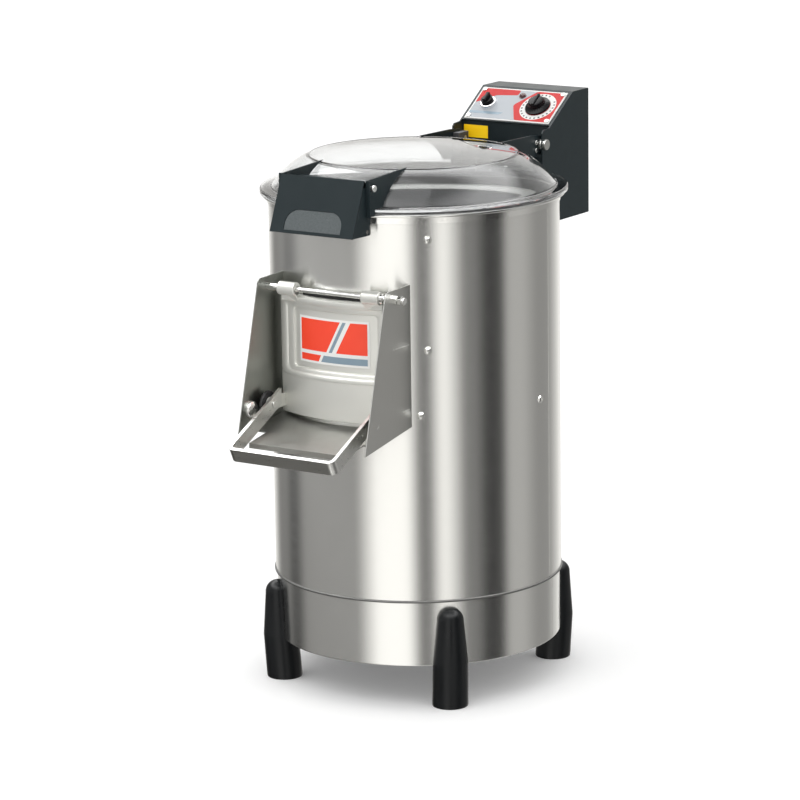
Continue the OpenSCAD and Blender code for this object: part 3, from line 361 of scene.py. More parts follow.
shell = drum_wall(shell_radius, shell_low.z + bead_radius, rim_high)
shell_piece = piece("drum_shell", shell, drum_steel, "machine", "stainless", "body_shell")
shell_wall = shell_piece.modifiers.new("sheet", "SOLIDIFY")
shell_wall.thickness = shell_sheet
shell_wall.offset = -1
# The sheet's inner face and the bead below get a darker copy of the steel: painted shade, for the shade
# inside the drum and under the shell's edge.
shade_darkened_steel = mottled("steel_painted_shade_dark", (0.16, 0.16, 0.155), 0.5, 0.8, 60, 0.42, 0.58)
shell_piece.data.materials.append(shade_darkened_steel)
shell_wall.material_offset = 1
bead_centre = (shell_radius, shell_low.z + bead_radius)
bead = turned(arc(bead_centre, bead_radius, 0, 345, 23), 240)
piece("drum_bead", bead, shade_darkened_steel, "machine", "stainless")

seam_width = 1.6 * mm
seam_proud = 0.35 * mm


def slab(x, y, z):
    """A box between pairs of bounds"""
    mesh = bmesh.new()
    bmesh.ops.create_cube(mesh, size=1)
    size = [bounds[1] - bounds[0] for bounds in (x, y, z)]
    middle = [(bounds[0] + bounds[1]) / 2 for bounds in (x, y, z)]
    bmesh.ops.scale(mesh, vec=size, verts=mesh.verts)
    bmesh.ops.translate(mesh, vec=middle, verts=mesh.verts)
    return mesh


def upright_seam(name, azimuth, radius, bottom, top):
    """A ground weld: a low ridge up a rolled sheet"""
    half = seam_width / 2
    mesh = slab((-half, half), (-radius - seam_proud, -radius + seam_proud), (bottom, top))
    bmesh.ops.rotate(mesh, matrix=Matrix.Rotation(math.radians(azimuth), 3, "Z"), verts=mesh.verts)
    piece(name, mesh, drum_steel, "machine", "stainless", edge=0.3 * mm)


upright_seam("shell_seam", 97.5, shell_radius, shell_low.z + 4 * mm, rim_high - 10 * mm)

# Base skirt: a ring of brushed stainless sheet, rolled and welded, that slips up inside the shell.
# Its lower edge is turned in to a hem, and the feet stand against it.
skirt_low, skirt_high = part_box("base_skirt")
skirt_radius = 198.3 * mm
skirt_sheet = 1.5 * mm
skirt_hem = 15 * mm
hem_bend = 1.5 * mm
skirt_in = skirt_radius - skirt_sheet
hem_in = skirt_radius - skirt_hem
hem_top = skirt_low.z + skirt_sheet
skirt_outline = [(skirt_radius, skirt_high.z), (skirt_in, skirt_high.z), (skirt_in, hem_top)]
skirt_outline += [(hem_in, hem_top), (hem_in, skirt_low.z)]
skirt_outline += arc((skirt_radius - hem_bend, skirt_low.z + hem_bend), hem_bend, -90, 0, 5)
piece("skirt", turned(skirt_outline, 240), drum_steel, "machine", "stainless", "base_skirt")
upright_seam("skirt_seam", 102, skirt_radius, skirt_low.z + 3 * mm, shell_low.z)

# Rim: a collar of polished stainless pressed over the top of the shell, with a flat seat for the
# lid's gasket and a rolled outer edge.
rim_low, rim_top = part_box("rim_ring")
roll_radius = 2.2 * mm
rim_step = 0.4 * mm
roll_centre = (rim_top.x - roll_radius, rim_top.z - roll_radius + rim_step)
seat_low = rim_top.z - 3.4 * mm
seat_in = shell_radius - 3 * mm
collar_out = shell_radius + 1.4 * mm
collar_in = shell_radius + 0.1 * mm
rim_outline = [(collar_in, rim_low.z), (collar_out, rim_low.z + rim_step), (collar_out, seat_low)]
rim_outline += arc(roll_centre, roll_radius, -110, 110, 14)
rim_outline += [(seat_in, rim_top.z - rim_step), (seat_in, seat_low), (collar_in, seat_low)]
bright_steel = mottled("polished_steel", (0.8, 0.8, 0.78), 0.16, 1.0, 300, 0.12, 0.22)
piece("rim", turned(rim_outline, 240), bright_steel, "machine", "stainless", "rim_ring")

# Lining: dark abrasive grit bonded inside the drum's steel wall. Its top edge is painted pale as a
# painted highlight, and a slanted ring of bare steel closes it.
liner_low, liner_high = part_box("drum_liner")
liner_radius = 194 * mm
pale_from = 10 * mm
edge_height = 7 * mm
edge_proud = 2.6 * mm
edge_sunk = 0.5 * mm
plain_steel = mottled("plain_steel", (0.62, 0.62, 0.6), 0.34, 1.0, 90, 0.26, 0.42, 5)
grit, grit_shader = finish("abrasive_grit", (0.06, 0.06, 0.065), 0.85)
grains = pattern(grit, 420, detail=6)
tint(grit, grit_shader, grains, (0.02, 0.02, 0.022), (0.14, 0.14, 0.145))
relief(grit, grit_shader, grains, 1.2 * mm)
lining, lining_shader = finish("lining_painted_highlight", (0.1, 0.1, 0.105), 0.6)
lining_place = lining.node_tree.nodes.new("ShaderNodeTexCoord")
lining_height = lining.node_tree.nodes.new("ShaderNodeSeparateXYZ")
lining.node_tree.links.new(lining_place.outputs["Object"], lining_height.inputs[0])
# The top of the lining is painted pale towards its edge: a painted highlight.
tint(lining, lining_shader, lining_height.outputs["Z"], (0.085, 0.09, 0.095), (0.85, 0.85, 0.82),
    liner_high.z - pale_from, liner_high.z - edge_height)
relief(lining, lining_shader, pattern(lining, 420, detail=6), 0.5 * mm)
liner = drum_wall(liner_radius, liner_low.z, liner_high.z)
liner_piece = piece("drum_lining", liner, lining, "machine", "abrasive_lining", "drum_liner")
liner_wall = liner_piece.modifiers.new("lining", "SOLIDIFY")
liner_wall.thickness = skirt_radius - liner_radius
liner_wall.offset = 1
edge_foot = liner_high.z - edge_height
edge_outline = [(liner_radius + edge_sunk, liner_high.z), (liner_radius - edge_proud, edge_foot)]
edge_outline += [(liner_radius + edge_sunk, edge_foot)]
piece("lining_edge", turned(edge_outline, 240), plain_steel, "machine", "stainless")

# Screws of the lining: dome heads of polished steel with a socket in the crown. They hold the
# lining from outside, in six upright rows round the shell.
head_radius = 5.5 * mm
head_rise = 3.4 * mm
head_sunk = 0.8 * mm
socket_radius = 1.9 * mm
socket_depth = 1.8 * mm
socket_lip = 0.25 * mm
# Height in mm, and the azimuths of the screws at that height.
screw_azimuths = {645.5: (-142, -37.8, 37.8, 142), 496: (-142, -37.5, 37.5, 142),
    407: (-142, -90, -34.5, 34.5, 90, 142)}


def dome_head(radius, rise, socket):
    """A screw's dome head on z = 0, with its socket sunk into the crown"""
    ball = (radius * radius + rise * rise) / (2 * rise)
    crown = math.degrees(math.asin(radius / ball))
    mesh = bmesh.new()
    outline = arc((0, rise - ball), ball, 90 - crown, 90 - math.degrees(math.asin(socket / ball)), 8)
    outline = [(0, -head_sunk), (radius, -head_sunk)] + outline
    points = [mesh.verts.new((r, 0, z)) for r, z in outline]
    edges = [mesh.edges.new(pair) for pair in zip(points, points[1:])]
    bmesh.ops.spin(mesh, geom=points + edges, axis=(0, 0, 1), angle=math.tau, steps=24, use_merge=True)
    bmesh.ops.remove_doubles(mesh, verts=mesh.verts, dist=1e-7)
    open_edges = [e for e in mesh.edges if e.is_boundary]
    well = bmesh.ops.contextual_create(mesh, geom=open_edges)["faces"]
    bmesh.ops.inset_region(mesh, faces=well, thickness=socket_lip, use_even_offset=True)
    for face in well:
        bmesh.ops.translate(mesh, vec=(0, 0, -socket_depth), verts=face.verts)
    bmesh.ops.recalc_face_normals(mesh, faces=mesh.faces)
    return mesh


def join(meshes):
    """One mesh out of several"""
    whole = bmesh.new()
    for mesh in meshes:
        carrier = bpy.data.meshes.new("carrier")
        mesh.to_mesh(carrier)
        mesh.free()
        whole.from_mesh(carrier)
        bpy.data.meshes.remove(carrier)
    return whole


def place(mesh, matrix):
    """Moves a mesh by a matrix"""
    bmesh.ops.transform(mesh, matrix=matrix, verts=mesh.verts)
    return mesh


def on_drum(azimuth, height, radius):
    """The frame of a spot on the drum: Z outwards"""
    turn = Matrix.Rotation(math.radians(azimuth), 4, "Z")
    return turn @ Matrix.Translation((0, -radius, height)) @ Matrix.Rotation(math.radians(90), 4, "X")


heads = [place(dome_head(head_radius, head_rise, socket_radius), on_drum(azimuth, height * mm, shell_radius))
    for height, azimuths in screw_azimuths.items() for azimuth in azimuths]
piece("lining_screw_heads", join(heads), bright_steel, "machine", "bright_steel", "liner_screws")

# Floor pan, drain pipe and water inlet: the pan closes the drum under the disc and the pipe drains
# it, both of welded stainless. The inlet behind is a brass hose tail.
def dress(material, *names):
    """Gives CAD solids that stay as they are their finish"""
    for name in names:
        for slot in nodes[name].material_slots:
            slot.material = material


def from_cad(name):
    """A merged copy of a CAD solid, ready for its edges to be rounded"""
    mesh = bmesh.new()
    mesh.from_mesh(nodes[name].data)
    bmesh.ops.remove_doubles(mesh, verts=mesh.verts, dist=2e-6)
    bmesh.ops.dissolve_limit(mesh, angle_limit=math.radians(0.8), verts=mesh.verts, edges=mesh.edges)
    return mesh


def solid_piece(name, node, material, body, slot, edge=0.0):
    """A piece that is its CAD solid, with rounded edges if edge is given"""
    piece(name, from_cad(node), material, body, slot, node, edge=edge)


brass = mottled("turned_brass", (0.74, 0.58, 0.28), 0.24, 1.0, 260, 0.18, 0.32)
dress(plain_steel, "floor_pan")
solid_piece("drain_tube", "drain_pipe", plain_steel, "machine", "stainless")
solid_piece("inlet_tail", "water_inlet", brass, "machine", "brass")

# Feet: moulded black plastic. Each is a round post that leans out, bends where it meets the
# skirt, tapers to a round top and is hollowed to lie against the skirt.
foot_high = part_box("foot_front_right")[1]
foot_at = 193.5 * mm
foot_radius = 25 * mm
foot_top_radius = 18 * mm
foot_bend = 62 * mm
foot_top = foot_high.z - foot_top_radius
foot_lean = 4.6 * mm
foot_lean_top = 2.4 * mm
foot_ease = 0.8 * mm
foot_taper = 6.2 * mm
foot_sole = 0.6 * mm
foot_gap = 0.1 * mm
foot_levels = (0.5, 2, 6, 20, 40, 57.6, 58.0, 58.4, 62, 66, 72, 82, 96, 110)
black_plastic, plastic_shader = finish("black_moulded_plastic", (0.005, 0.006, 0.007), 0.36, specular=0.25)
moulding_flow = pattern(black_plastic, 60, (1, 1, 0.35), 5)
sheen(black_plastic, plastic_shader, moulding_flow, 0.26, 0.46)
relief(black_plastic, plastic_shader, pattern(black_plastic, 500, detail=4), 0.03 * mm)


def foot(name, azimuth):
    """A foot, turned upright in front of the drum, leant out, hollowed and turned to its place"""
    outline = [(0, 0), (foot_radius - 1 * mm, 0)]
    for height in foot_levels:
        z = height * mm
        taper = max(0, (z - foot_bend) / (foot_top - foot_bend))
        radius = foot_radius - foot_ease * min(z / foot_bend, 1) - foot_taper * taper
        outline.append((radius - max(0, foot_sole - z / 4), z))
    outline += arc((0, foot_top), foot_top_radius, 0, 90, 12)
    mesh = turned(outline, 64)
    for vertex in mesh.verts:
        low = min(vertex.co.z / foot_bend, 1)
        high = max(0, (vertex.co.z - foot_bend) / (foot_top - foot_bend))
        vertex.co.y -= foot_at + foot_lean * low + foot_lean_top * min(high, 1.2)
        reach = vertex.co.xy.length
        if vertex.co.z > skirt_low.z and reach < skirt_radius + foot_gap:
            vertex.co.xy *= (skirt_radius + foot_gap) / reach
    place(mesh, Matrix.Rotation(math.radians(azimuth), 4, "Z"))
    piece(name + "_moulding", mesh, black_plastic, "machine", "black_plastic", name, sharp=50)


foot("foot_front_right", 45)
foot("foot_front_left", -45)
foot("foot_rear_right", 135)
foot("foot_rear_left", -135)
dress(bright_steel, "foot_bolts")

# Drive: motor on its plate, V-belt, pulleys, shafts and bearing housing, all inside the base,
# and the grit-faced casting that is the abrasive disc, with the shaft's nut in its middle.
motor_paint = mottled("machine_paint", (0.1, 0.13, 0.17), 0.45, 0.0, 70, 0.36, 0.56)
cast_iron, iron_shader = finish("cast_iron", (0.13, 0.13, 0.135), 0.6, 0.7)
relief(cast_iron, iron_shader, pattern(cast_iron, 400, detail=5), 0.15 * mm)
rubber = mottled("black_rubber", (0.014, 0.014, 0.015), 0.55, 0.0, 150, 0.42, 0.68, 5)
dress(motor_paint, "motor", "motor_plate")
dress(cast_iron, "bearing_housing", "driven_pulley", "motor_pulley")
dress(rubber, "drive_belt")
dress(bright_steel, "motor_shaft")
solid_piece("disc_casting", "abrasive_disc", grit, "disc", "abrasive_casting", 0.8 * mm)
solid_piece("shaft_and_nut", "main_shaft", bright_steel, "disc", "bright_steel", 0.3 * mm)

# Chute: two folded cheeks and a sloping tray of brushed sheet, welded to the drum's front, with
# the door's rod, its nuts and the studs of the catch on the cheeks, and the latch's strikes above.
# The left cheek's steel is a darker copy of the same sheet: painted shade for the shade of the door.
cheek_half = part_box("cheek_right")[1].x
stud_trim = 0.2 * mm
stud_face = 1 * mm
weld_height = 1.5 * mm
weld_proud = 0.5 * mm
weld_back = 176 * mm


def chute_sheet(name, colour, roughness):
    """Sheet that is brushed upright"""
    material, shader = finish(name, colour, roughness, 1.0)
    grain = pattern(material, 700, (1, 1, 0.03), 4)
    sheen(material, shader, grain, 0.3, 0.42)
    relief(material, shader, grain, 0.006 * mm)
    return material


chute_steel = chute_sheet("brushed_chute_steel", (0.62, 0.62, 0.6), 0.34)
solid_piece("right_cheek", "cheek_right", chute_steel, "machine", "stainless", 0.35 * mm)
# Painted shade: the left cheek gets the chute's sheet in a darker colour.
painted_shade_steel = chute_sheet("chute_steel_painted_shade", (0.3, 0.31, 0.29), 0.36)
solid_piece("left_cheek", "cheek_left", painted_shade_steel, "machine", "stainless", 0.35 * mm)
# The tray's steel is darker than the cheeks' sheet.
tray_steel = mottled("darker_tray_steel", (0.42, 0.42, 0.4), 0.45, 1.0, 40, 0.4, 0.54, 5)
solid_piece("tray", "chute_tray", tray_steel, "machine", "stainless", 0.35 * mm)
satin_steel = mottled("satin_steel", (0.88, 0.88, 0.86), 0.3, 1.0, 300, 0.26, 0.34)
solid_piece("door_rod", "hinge_rod", satin_steel, "machine", "bright_steel", 0.4 * mm)
solid_piece("rod_nuts", "rod_fittings", bright_steel, "machine", "bright_steel", 0.3 * mm)
studs = from_cad("catch_studs")
for vertex in studs.verts:
    vertex.co.x = max(-cheek_half + stud_trim, min(cheek_half - stud_trim, vertex.co.x))
for face in studs.faces:
    face.material_index = int(abs(face.calc_center_median().x) > cheek_half - stud_face)
studs_piece = piece("studs", studs, satin_steel, "machine", "bright_steel", "catch_studs")
studs_piece.data.materials.append(chute_steel)
solid_piece("strikes", "latch_strikes", bright_steel, "machine", "bright_steel", 0.4 * mm)
# Short welds on the right cheek: reach and height in mm.
weld_spots = ((214, 504.5), (192, 416.5))
welds = [slab((cheek_half, cheek_half + weld_proud), (-reach * mm, -weld_back),
    (height * mm, height * mm + weld_height)) for reach, height in weld_spots]
piece("cheek_welds", join(welds), satin_steel, "machine", "stainless")

# Discharge door: one satin aluminium casting bent to the drum, with a stepped frame round a
# sunk panel, a flat lower plate, two lugs for the rod and two for the handle's bolts.
door_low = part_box("door_casting")[0]
door_back = 203 * mm
frame_face = 214 * mm
plate_face = 212.5 * mm
sunk_face = 206.5 * mm
door_half = 94 * mm
plate_half = 93.6 * mm
frame_low = 449.5 * mm
door_top = 562 * mm
sunk_half = 66 * mm
sunk_low = 464 * mm
sunk_high = 544 * mm
corner_out = 9 * mm
corner_in = 5 * mm
panel_lap = 1 * mm
plate_lap = 6 * mm
# The frame's section: share of the way from its outer edge to its inner one, and radius in mm.
frame_section = ((0, 203), (0, 209.5), (0.03, 212), (0.1, 213.6), (0.2, 214), (0.4, 213.7), (0.5, 212.8),
    (0.58, 211), (0.7, 210.4), (0.86, 210), (0.94, 209), (1, 206.4), (1, 203))


def bend_to_drum(mesh, step=5 * mm):
    """Cuts a flat mesh, drawn with y as minus its radius, into strips and bends it round the drum"""
    reach = max(abs(vertex.co.x) for vertex in mesh.verts)
    count = int(reach / step)
    for i in range(-count, count + 1):
        everything = mesh.verts[:] + mesh.edges[:] + mesh.faces[:]
        spot = (i * step, 0, 0)
        bmesh.ops.bisect_plane(mesh, geom=everything, dist=1e-7, plane_co=spot, plane_no=(1, 0, 0))
    for vertex in mesh.verts:
        vertex.co.y = -math.sqrt(max(vertex.co.y ** 2 - vertex.co.x ** 2, 0))
    return mesh


cast_aluminium, cast_shader = finish("satin_cast_aluminium", (0.72, 0.72, 0.68), 0.36, 0.5)
cast_tone = pattern(cast_aluminium, 24, detail=4)
sheen(cast_aluminium, cast_shader, cast_tone, 0.36, 0.48)
relief(cast_aluminium, cast_shader, pattern(cast_aluminium, 900, detail=3), 0.04 * mm)


def framed_loop(mesh, share, radius):
    """One closed loop of the frame, laid on a cylinder of that radius"""
    half = door_half + (sunk_half - door_half) * share
    low = frame_low + (sunk_low - frame_low) * share
    high = door_top + (sunk_high - door_top) * share
    corner = corner_out + (corner_in - corner_out) * share
    points = []
    for x, z, start in ((1, 1, 0), (-1, 1, 90), (-1, -1, 180), (1, -1, 270)):
        centre = (x * (half - corner), (high if z > 0 else low) - z * corner)
        points += arc(centre, corner, start, start + 90, 6)
    loop = []
    for point, following in zip(points, points[1:] + points[:1]):
        count = 36 if abs(point[0] - following[0]) > half else 1
        for i in range(count):
            x = point[0] + (following[0] - point[0]) * i / count
            z = point[1] + (following[1] - point[1]) * i / count
            loop.append(mesh.verts.new((x, -math.sqrt(radius * radius - x * x), z)))
    return loop


door_frame = bmesh.new()
loops = [framed_loop(door_frame, share, radius * mm) for share, radius in frame_section]
for first, second in zip(loops, loops[1:] + loops[:1]):
    for i, vertex in enumerate(first):
        door_frame.faces.new((first[i - 1], vertex, second[i], second[i - 1]))
bmesh.ops.recalc_face_normals(door_frame, faces=door_frame.faces)
door_panel = slab((-sunk_half - panel_lap, sunk_half + panel_lap), (-sunk_face, -door_back - panel_lap),
    (sunk_low - panel_lap, sunk_high + panel_lap))
bend_to_drum(door_panel)
door_plate = slab((-plate_half, plate_half), (-plate_face, -door_back), (door_low.z, frame_low + plate_lap))
round_off(door_plate, 2 * mm, 4)
bend_to_drum(door_plate)
rod_y = -209 * mm
rod_z = 571 * mm
lug_bore = 3.3 * mm
lug_radius = 9.3 * mm
lug_near = 53.5 * mm
lug_far = 81 * mm
neck_back = 204.8 * mm
neck_proud = 2.5 * mm
neck_drop = 8 * mm
neck_sunk = 0.6 * mm
bolt_y = -229 * mm
bolt_z = 414 * mm
ear_near = 85.3 * mm
ear_far = 88.3 * mm
ear_bore = 4.1 * mm
ear_radius = 9.5 * mm
root_near = bolt_y + 6 * mm
root_far = bolt_y + 42 * mm
root_half = 9 * mm


def square_ring(inner, outer, low, high):
    """The outline of a ring with a square section"""
    return [(inner, low), (outer, low), (outer, high), (inner, high)]


def along_x(outline, y, z, width):
    """A ring turned from its outline, with its edges rounded, lying along X at a place"""
    ring = turned(outline, 40)
    round_off(ring, width)
    return place(ring, Matrix.Translation((0, y, z)) @ Matrix.Rotation(math.radians(90), 4, "Y"))


def on_side(mesh, side):
    """A mesh that is drawn for the right, mirrored if it is for the left"""
    if side < 0:
        place(mesh, Matrix.Scale(-1, 4, (1, 0, 0)))
        bmesh.ops.reverse_faces(mesh, faces=mesh.faces)
    return mesh


def door_lug(side):
    """A lug on the door's upper edge: a barrel for the rod, on a neck from the frame"""
    barrel = along_x(square_ring(lug_bore, lug_radius, lug_near, lug_far), rod_y, rod_z, 1.2 * mm)
    neck = slab((lug_near, lug_far), (-frame_face - neck_proud, -neck_back), (door_top - neck_drop, rod_z))
    for vertex in neck.verts:
        if vertex.co.z < door_top and vertex.co.y < -frame_face:
            vertex.co.y = -math.sqrt((frame_face - neck_sunk) ** 2 - vertex.co.x ** 2)
    round_off(neck, 1 * mm)
    return on_side(join([barrel, neck]), side)


def handle_ear(side):
    """An ear on the lower plate: a ring for the handle's bolt, on a root from the plate"""
    ring = along_x(square_ring(ear_bore, ear_radius, ear_near, ear_far), bolt_y, bolt_z, 0.5 * mm)
    root = slab((ear_near, ear_far), (root_near, root_far), (bolt_z - root_half, bolt_z + root_half))
    round_off(root, 0.5 * mm)
    return on_side(join([ring, root]), side)


door_parts = [door_frame, door_panel, door_plate, door_lug(1), door_lug(-1), handle_ear(1), handle_ear(-1)]
piece("door", join(door_parts), cast_aluminium, "door", "cast_aluminium", "door_casting")
dress(rubber, "door_seal")
# A black rubber strip above the door's top edge, behind the rod: the seal's lip, drawn tall and dark so that
# it also paints the shade in the gap under the rod.
shade_strip_half = 52 * mm
shade_strip_face = 204 * mm
shade_strip_back = 200.4 * mm
seal_lip_painted_shade = slab((-shade_strip_half, shade_strip_half), (-shade_strip_face, -shade_strip_back), (door_top - 4 * mm, door_top + 5 * mm))
piece("seal_lip_painted_shade", bend_to_drum(seal_lip_painted_shade), rubber, "door", "black_rubber")
solid_piece("door_buffers", "buffers", rubber, "door", "black_rubber", 1.6 * mm)

# Door label: printed film stuck in the sunk panel. Its print is plain: a red field cut by a
# grey-blue sweep, and two bars, without words or figures.
label_low, label_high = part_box("door_label")
film_white, film_shader = finish("label_white", (0.86, 0.86, 0.84), 0.32, specular=0.1)
sheen(film_white, film_shader, pattern(film_white, 40), 0.26, 0.4)
print_red, red_shader = finish("print_red", (1, 0.06, 0.02), 0.4)
tint(print_red, red_shader, pattern(print_red, 14), (0.96, 0.05, 0.015), (1, 0.07, 0.025))
print_blue, blue_shader = finish("print_grey_blue", (0.24, 0.33, 0.4), 0.32)
tint(print_blue, blue_shader, pattern(print_blue, 14), (0.21, 0.3, 0.37), (0.27, 0.36, 0.43))
film = 0.6 * mm
ink = 0.12 * mm


def printed(outline, depth):
    """A flat shape in the XZ plane from its outline, with its back on y = 0"""
    mesh = bmesh.new()
    corners = [mesh.verts.new((x, 0, z)) for x, z in outline]
    face = mesh.faces.new(corners)
    grown = bmesh.ops.extrude_face_region(mesh, geom=[face])["geom"]
    front = [part for part in grown if isinstance(part, bmesh.types.BMVert)]
    bmesh.ops.translate(mesh, vec=(0, -depth, 0), verts=front)
    bmesh.ops.recalc_face_normals(mesh, faces=mesh.faces)
    return mesh


def label_print(name, colour, corners, low, high, *stands_for):
    """The film of the label, or ink on it: the x of its low and of its high corners, left to right"""
    outline = ((corners[0], low), (corners[1], low), (corners[3], high), (corners[2], high))
    lift = 0 if stands_for else film
    mesh = printed(outline, film if stands_for else ink)
    bmesh.ops.translate(mesh, vec=(0, -sunk_face - lift, 0), verts=mesh.verts)
    piece(name, bend_to_drum(mesh), colour, "door", "label_film", *stands_for)


left, base = label_low.x, label_low.z
wide, tall = label_high.x - left, label_high.z - base
border = 3 * mm
bar_low, bar_top = base + border, base + 12 * mm
field_low, field_top = base + 17 * mm, base + tall - border
near, far = left + border, left + wide - border


def across_label(*shares):
    """Places between the two ends of the label"""
    return [left + share * wide for share in shares]


label_print("label_film", film_white, (left, left + wide, left, left + wide), base, base + tall, "door_label")
field_end, field_start = across_label(0.42, 0.62), across_label(0.56, 0.76)
label_print("label_field_left", print_red, (near, field_end[0], near, field_end[1]), field_low, field_top)
label_print("label_field_right", print_red, (field_start[0], far, field_start[1], far), field_low, field_top)
label_print("label_sweep", print_blue, across_label(0.455, 0.50, 0.655, 0.70), field_low, field_top)
bar_end, bar_start = across_label(0.3, 0.34), across_label(0.34, 0.38)
label_print("label_bar_red", print_red, (near, bar_end[0], near, bar_end[1]), bar_low, bar_top)
label_print("label_bar_blue", print_blue, (bar_start[0], far, bar_start[1], far), bar_low, bar_top)

# Door handle: a flat bar of brushed stainless bent to a U. Its ends turn on two bolts in the ears
# of the door.
handle_steel, handle_shader = finish("brushed_handle_steel", (0.66, 0.66, 0.64), 0.36, 1.0)
handle_grain = pattern(handle_steel, 600, (0.05, 0.3, 1), 4)
sheen(handle_steel, handle_shader, handle_grain, 0.26, 0.4)
relief(handle_steel, handle_shader, handle_grain, 0.01 * mm)
solid_piece("door_bolts", "handle_bolts", handle_steel, "door", "bright_steel", 0.3 * mm)
solid_piece("handle_bar", "door_handle", handle_steel, "handle", "stainless", 0.8 * mm)

# Control box: folded sheet in a dark slate coat with soft folds, its back plate, and the stay
# that holds it off the drum.
black_coat, coat_shader = finish("slate_black_coat", (0.016, 0.024, 0.027), 0.34, specular=0.2)
sheen(black_coat, coat_shader, pattern(black_coat, 45, detail=4), 0.3, 0.4)
relief(black_coat, coat_shader, pattern(black_coat, 1400, detail=2), 0.02 * mm)
solid_piece("box_case", "control_box", black_coat, "machine", "black_coat", 0.9 * mm)
solid_piece("box_back", "box_cover", black_coat, "machine", "black_coat", 0.7 * mm)
solid_piece("box_stay", "box_saddle", black_coat, "machine", "black_coat", 0.5 * mm)


def joint(name):
    """A joint of the frame, by its name"""
    return next(j for j in frame["joints"] if j["name"] == name)


# The pins' shanks are a little thinner than the solids', so that they clear their bores.
hinge_pins = from_cad("pivot_bolts")
pivot = Vector(joint("lid_hinge")["pos_m"]).yz
shank_radius = 4 * mm
shank_reach = 1.02 * shank_radius
shank_ease = 0.96
for vertex in hinge_pins.verts:
    reach = vertex.co.yz - pivot
    if reach.length < shank_reach:
        vertex.co.yz = pivot + reach * shank_ease
piece("hinge_bolts", hinge_pins, plain_steel, "machine", "bright_steel", "pivot_bolts", edge=0.5 * mm)
solid_piece("gland", "cable_gland", black_plastic, "machine", "black_plastic", 0.4 * mm)
ivory = mottled("ivory_plastic", (0.72, 0.68, 0.58), 0.45, 0.0, 80, 0.38, 0.52)
dress(ivory, "timer_body", "contactor")
dress(black_plastic, "switch_body")

# Sticker: a bare piece of bright yellow film, without print, stuck to the front wall of the box
# under the left half of the panel.
sticker_yellow, sticker_shader = finish("sticker_yellow", (1, 0.63, 0.01), 0.35)
tint(sticker_yellow, sticker_shader, pattern(sticker_yellow, 60), (0.97, 0.58, 0.006), (1, 0.68, 0.01))
# The film glows faintly: painted light, lifting it out of the shade on the box's front wall.
sticker_shader.inputs["Emission Color"].default_value = (1, 0.6, 0.01, 1)
sticker_shader.inputs["Emission Strength"].default_value = 0.25
box_front = 245 * mm
sticker_film = (box_front - 0.25 * mm, box_front + 0.05 * mm)
sticker = slab((-71 * mm, -31 * mm), sticker_film, (715 * mm, 733 * mm))
piece("sticker", sticker, sticker_yellow, "machine", "label_film")

# Panel: a thin printed plate screwed to the slope of the box. A white border runs round fields of
# silver and red and a grey-blue sweep.
timer = joint("timer_turn")
slope_normal = Vector(timer["axis"])
slope_up = Vector((0, slope_normal.z, -slope_normal.y))
timer_at = Vector((37 * mm, 40 * mm))
switch_at = Vector((-44 * mm, 38 * mm))
panel_origin = Vector(timer["pos_m"]) - Vector((timer_at.x, 0, 0)) - slope_up * timer_at.y
panel_axes = Matrix((Vector((1, 0, 0)), slope_up, slope_normal)).transposed().to_4x4()
on_panel = Matrix.Translation(panel_origin) @ panel_axes
plate_half_w = 70 * mm
plate_low = 7 * mm
plate_high = plate_low + 66.5 * mm
plate_face_n = 1.5 * mm
panel_red, panel_red_shader = finish("panel_red", (0.6, 0.06, 0.06), 0.45, specular=0.1)
tint(panel_red, panel_red_shader, pattern(panel_red, 14), (0.58, 0.055, 0.055), (0.66, 0.075, 0.075))
panel_silver, silver_shader = finish("panel_silver", (0.46, 0.49, 0.52), 0.4, specular=0.2)
sheen(panel_silver, silver_shader, pattern(panel_silver, 500, (0.05, 1, 1)), 0.3, 0.42)
solid_piece("panel_plate", "control_panel", film_white, "machine", "red_panel", 0.3 * mm)


def rounded(points, radius, count=5):
    """An outline with its corners rounded"""
    outline = []
    for i, point in enumerate(points):
        corner = Vector(point)
        before = (Vector(points[i - 1]) - corner).normalized()
        after = (Vector(points[(i + 1) % len(points)]) - corner).normalized()
        for k in range(count + 1):
            t = k / count
            first = corner + before * radius * (1 - t)
            second = corner + after * radius * t
            outline.append(tuple(first * (1 - t) + second * t))
    return outline


def panel_print(name, corners, radius, colour, layer):
    """A field of print with rounded corners on the panel; layer counts up from the plate"""
    mesh = printed(rounded(corners, radius), ink)
    place(mesh, Matrix.Rotation(math.radians(-90), 4, "X"))
    place(mesh, on_panel @ Matrix.Translation((0, 0, plate_face_n + layer * ink)))
    piece(name, mesh, colour, "machine", "red_panel")


rim_white = 2.2 * mm
x0, x1 = -plate_half_w + rim_white, plate_half_w - rim_white
y0, y1 = plate_low + rim_white, plate_high - rim_white
silver = ((x0, y0), (x1, y0), (x1, y1), (x0, y1))
red_right = ((12 * mm, y0), (x1, y0), (x1, y1), (22 * mm, y1), (-4 * mm, 40 * mm))
red_left = ((x0, 40 * mm), (-40 * mm, 58 * mm), (-6 * mm, 61 * mm), (-6 * mm, y1), (x0, y1))
sweep = ((x0, 18 * mm), (-18 * mm, 18 * mm), (-12 * mm, 23 * mm), (x0, 23 * mm))
panel_print("panel_field", silver, 3 * mm, panel_silver, 0)
panel_print("panel_red_right", red_right, 4 * mm, panel_red, 1)
panel_print("panel_red_left", red_left, 3 * mm, panel_red, 1)
panel_print("panel_sweep", sweep, 1.5 * mm, print_blue, 1)

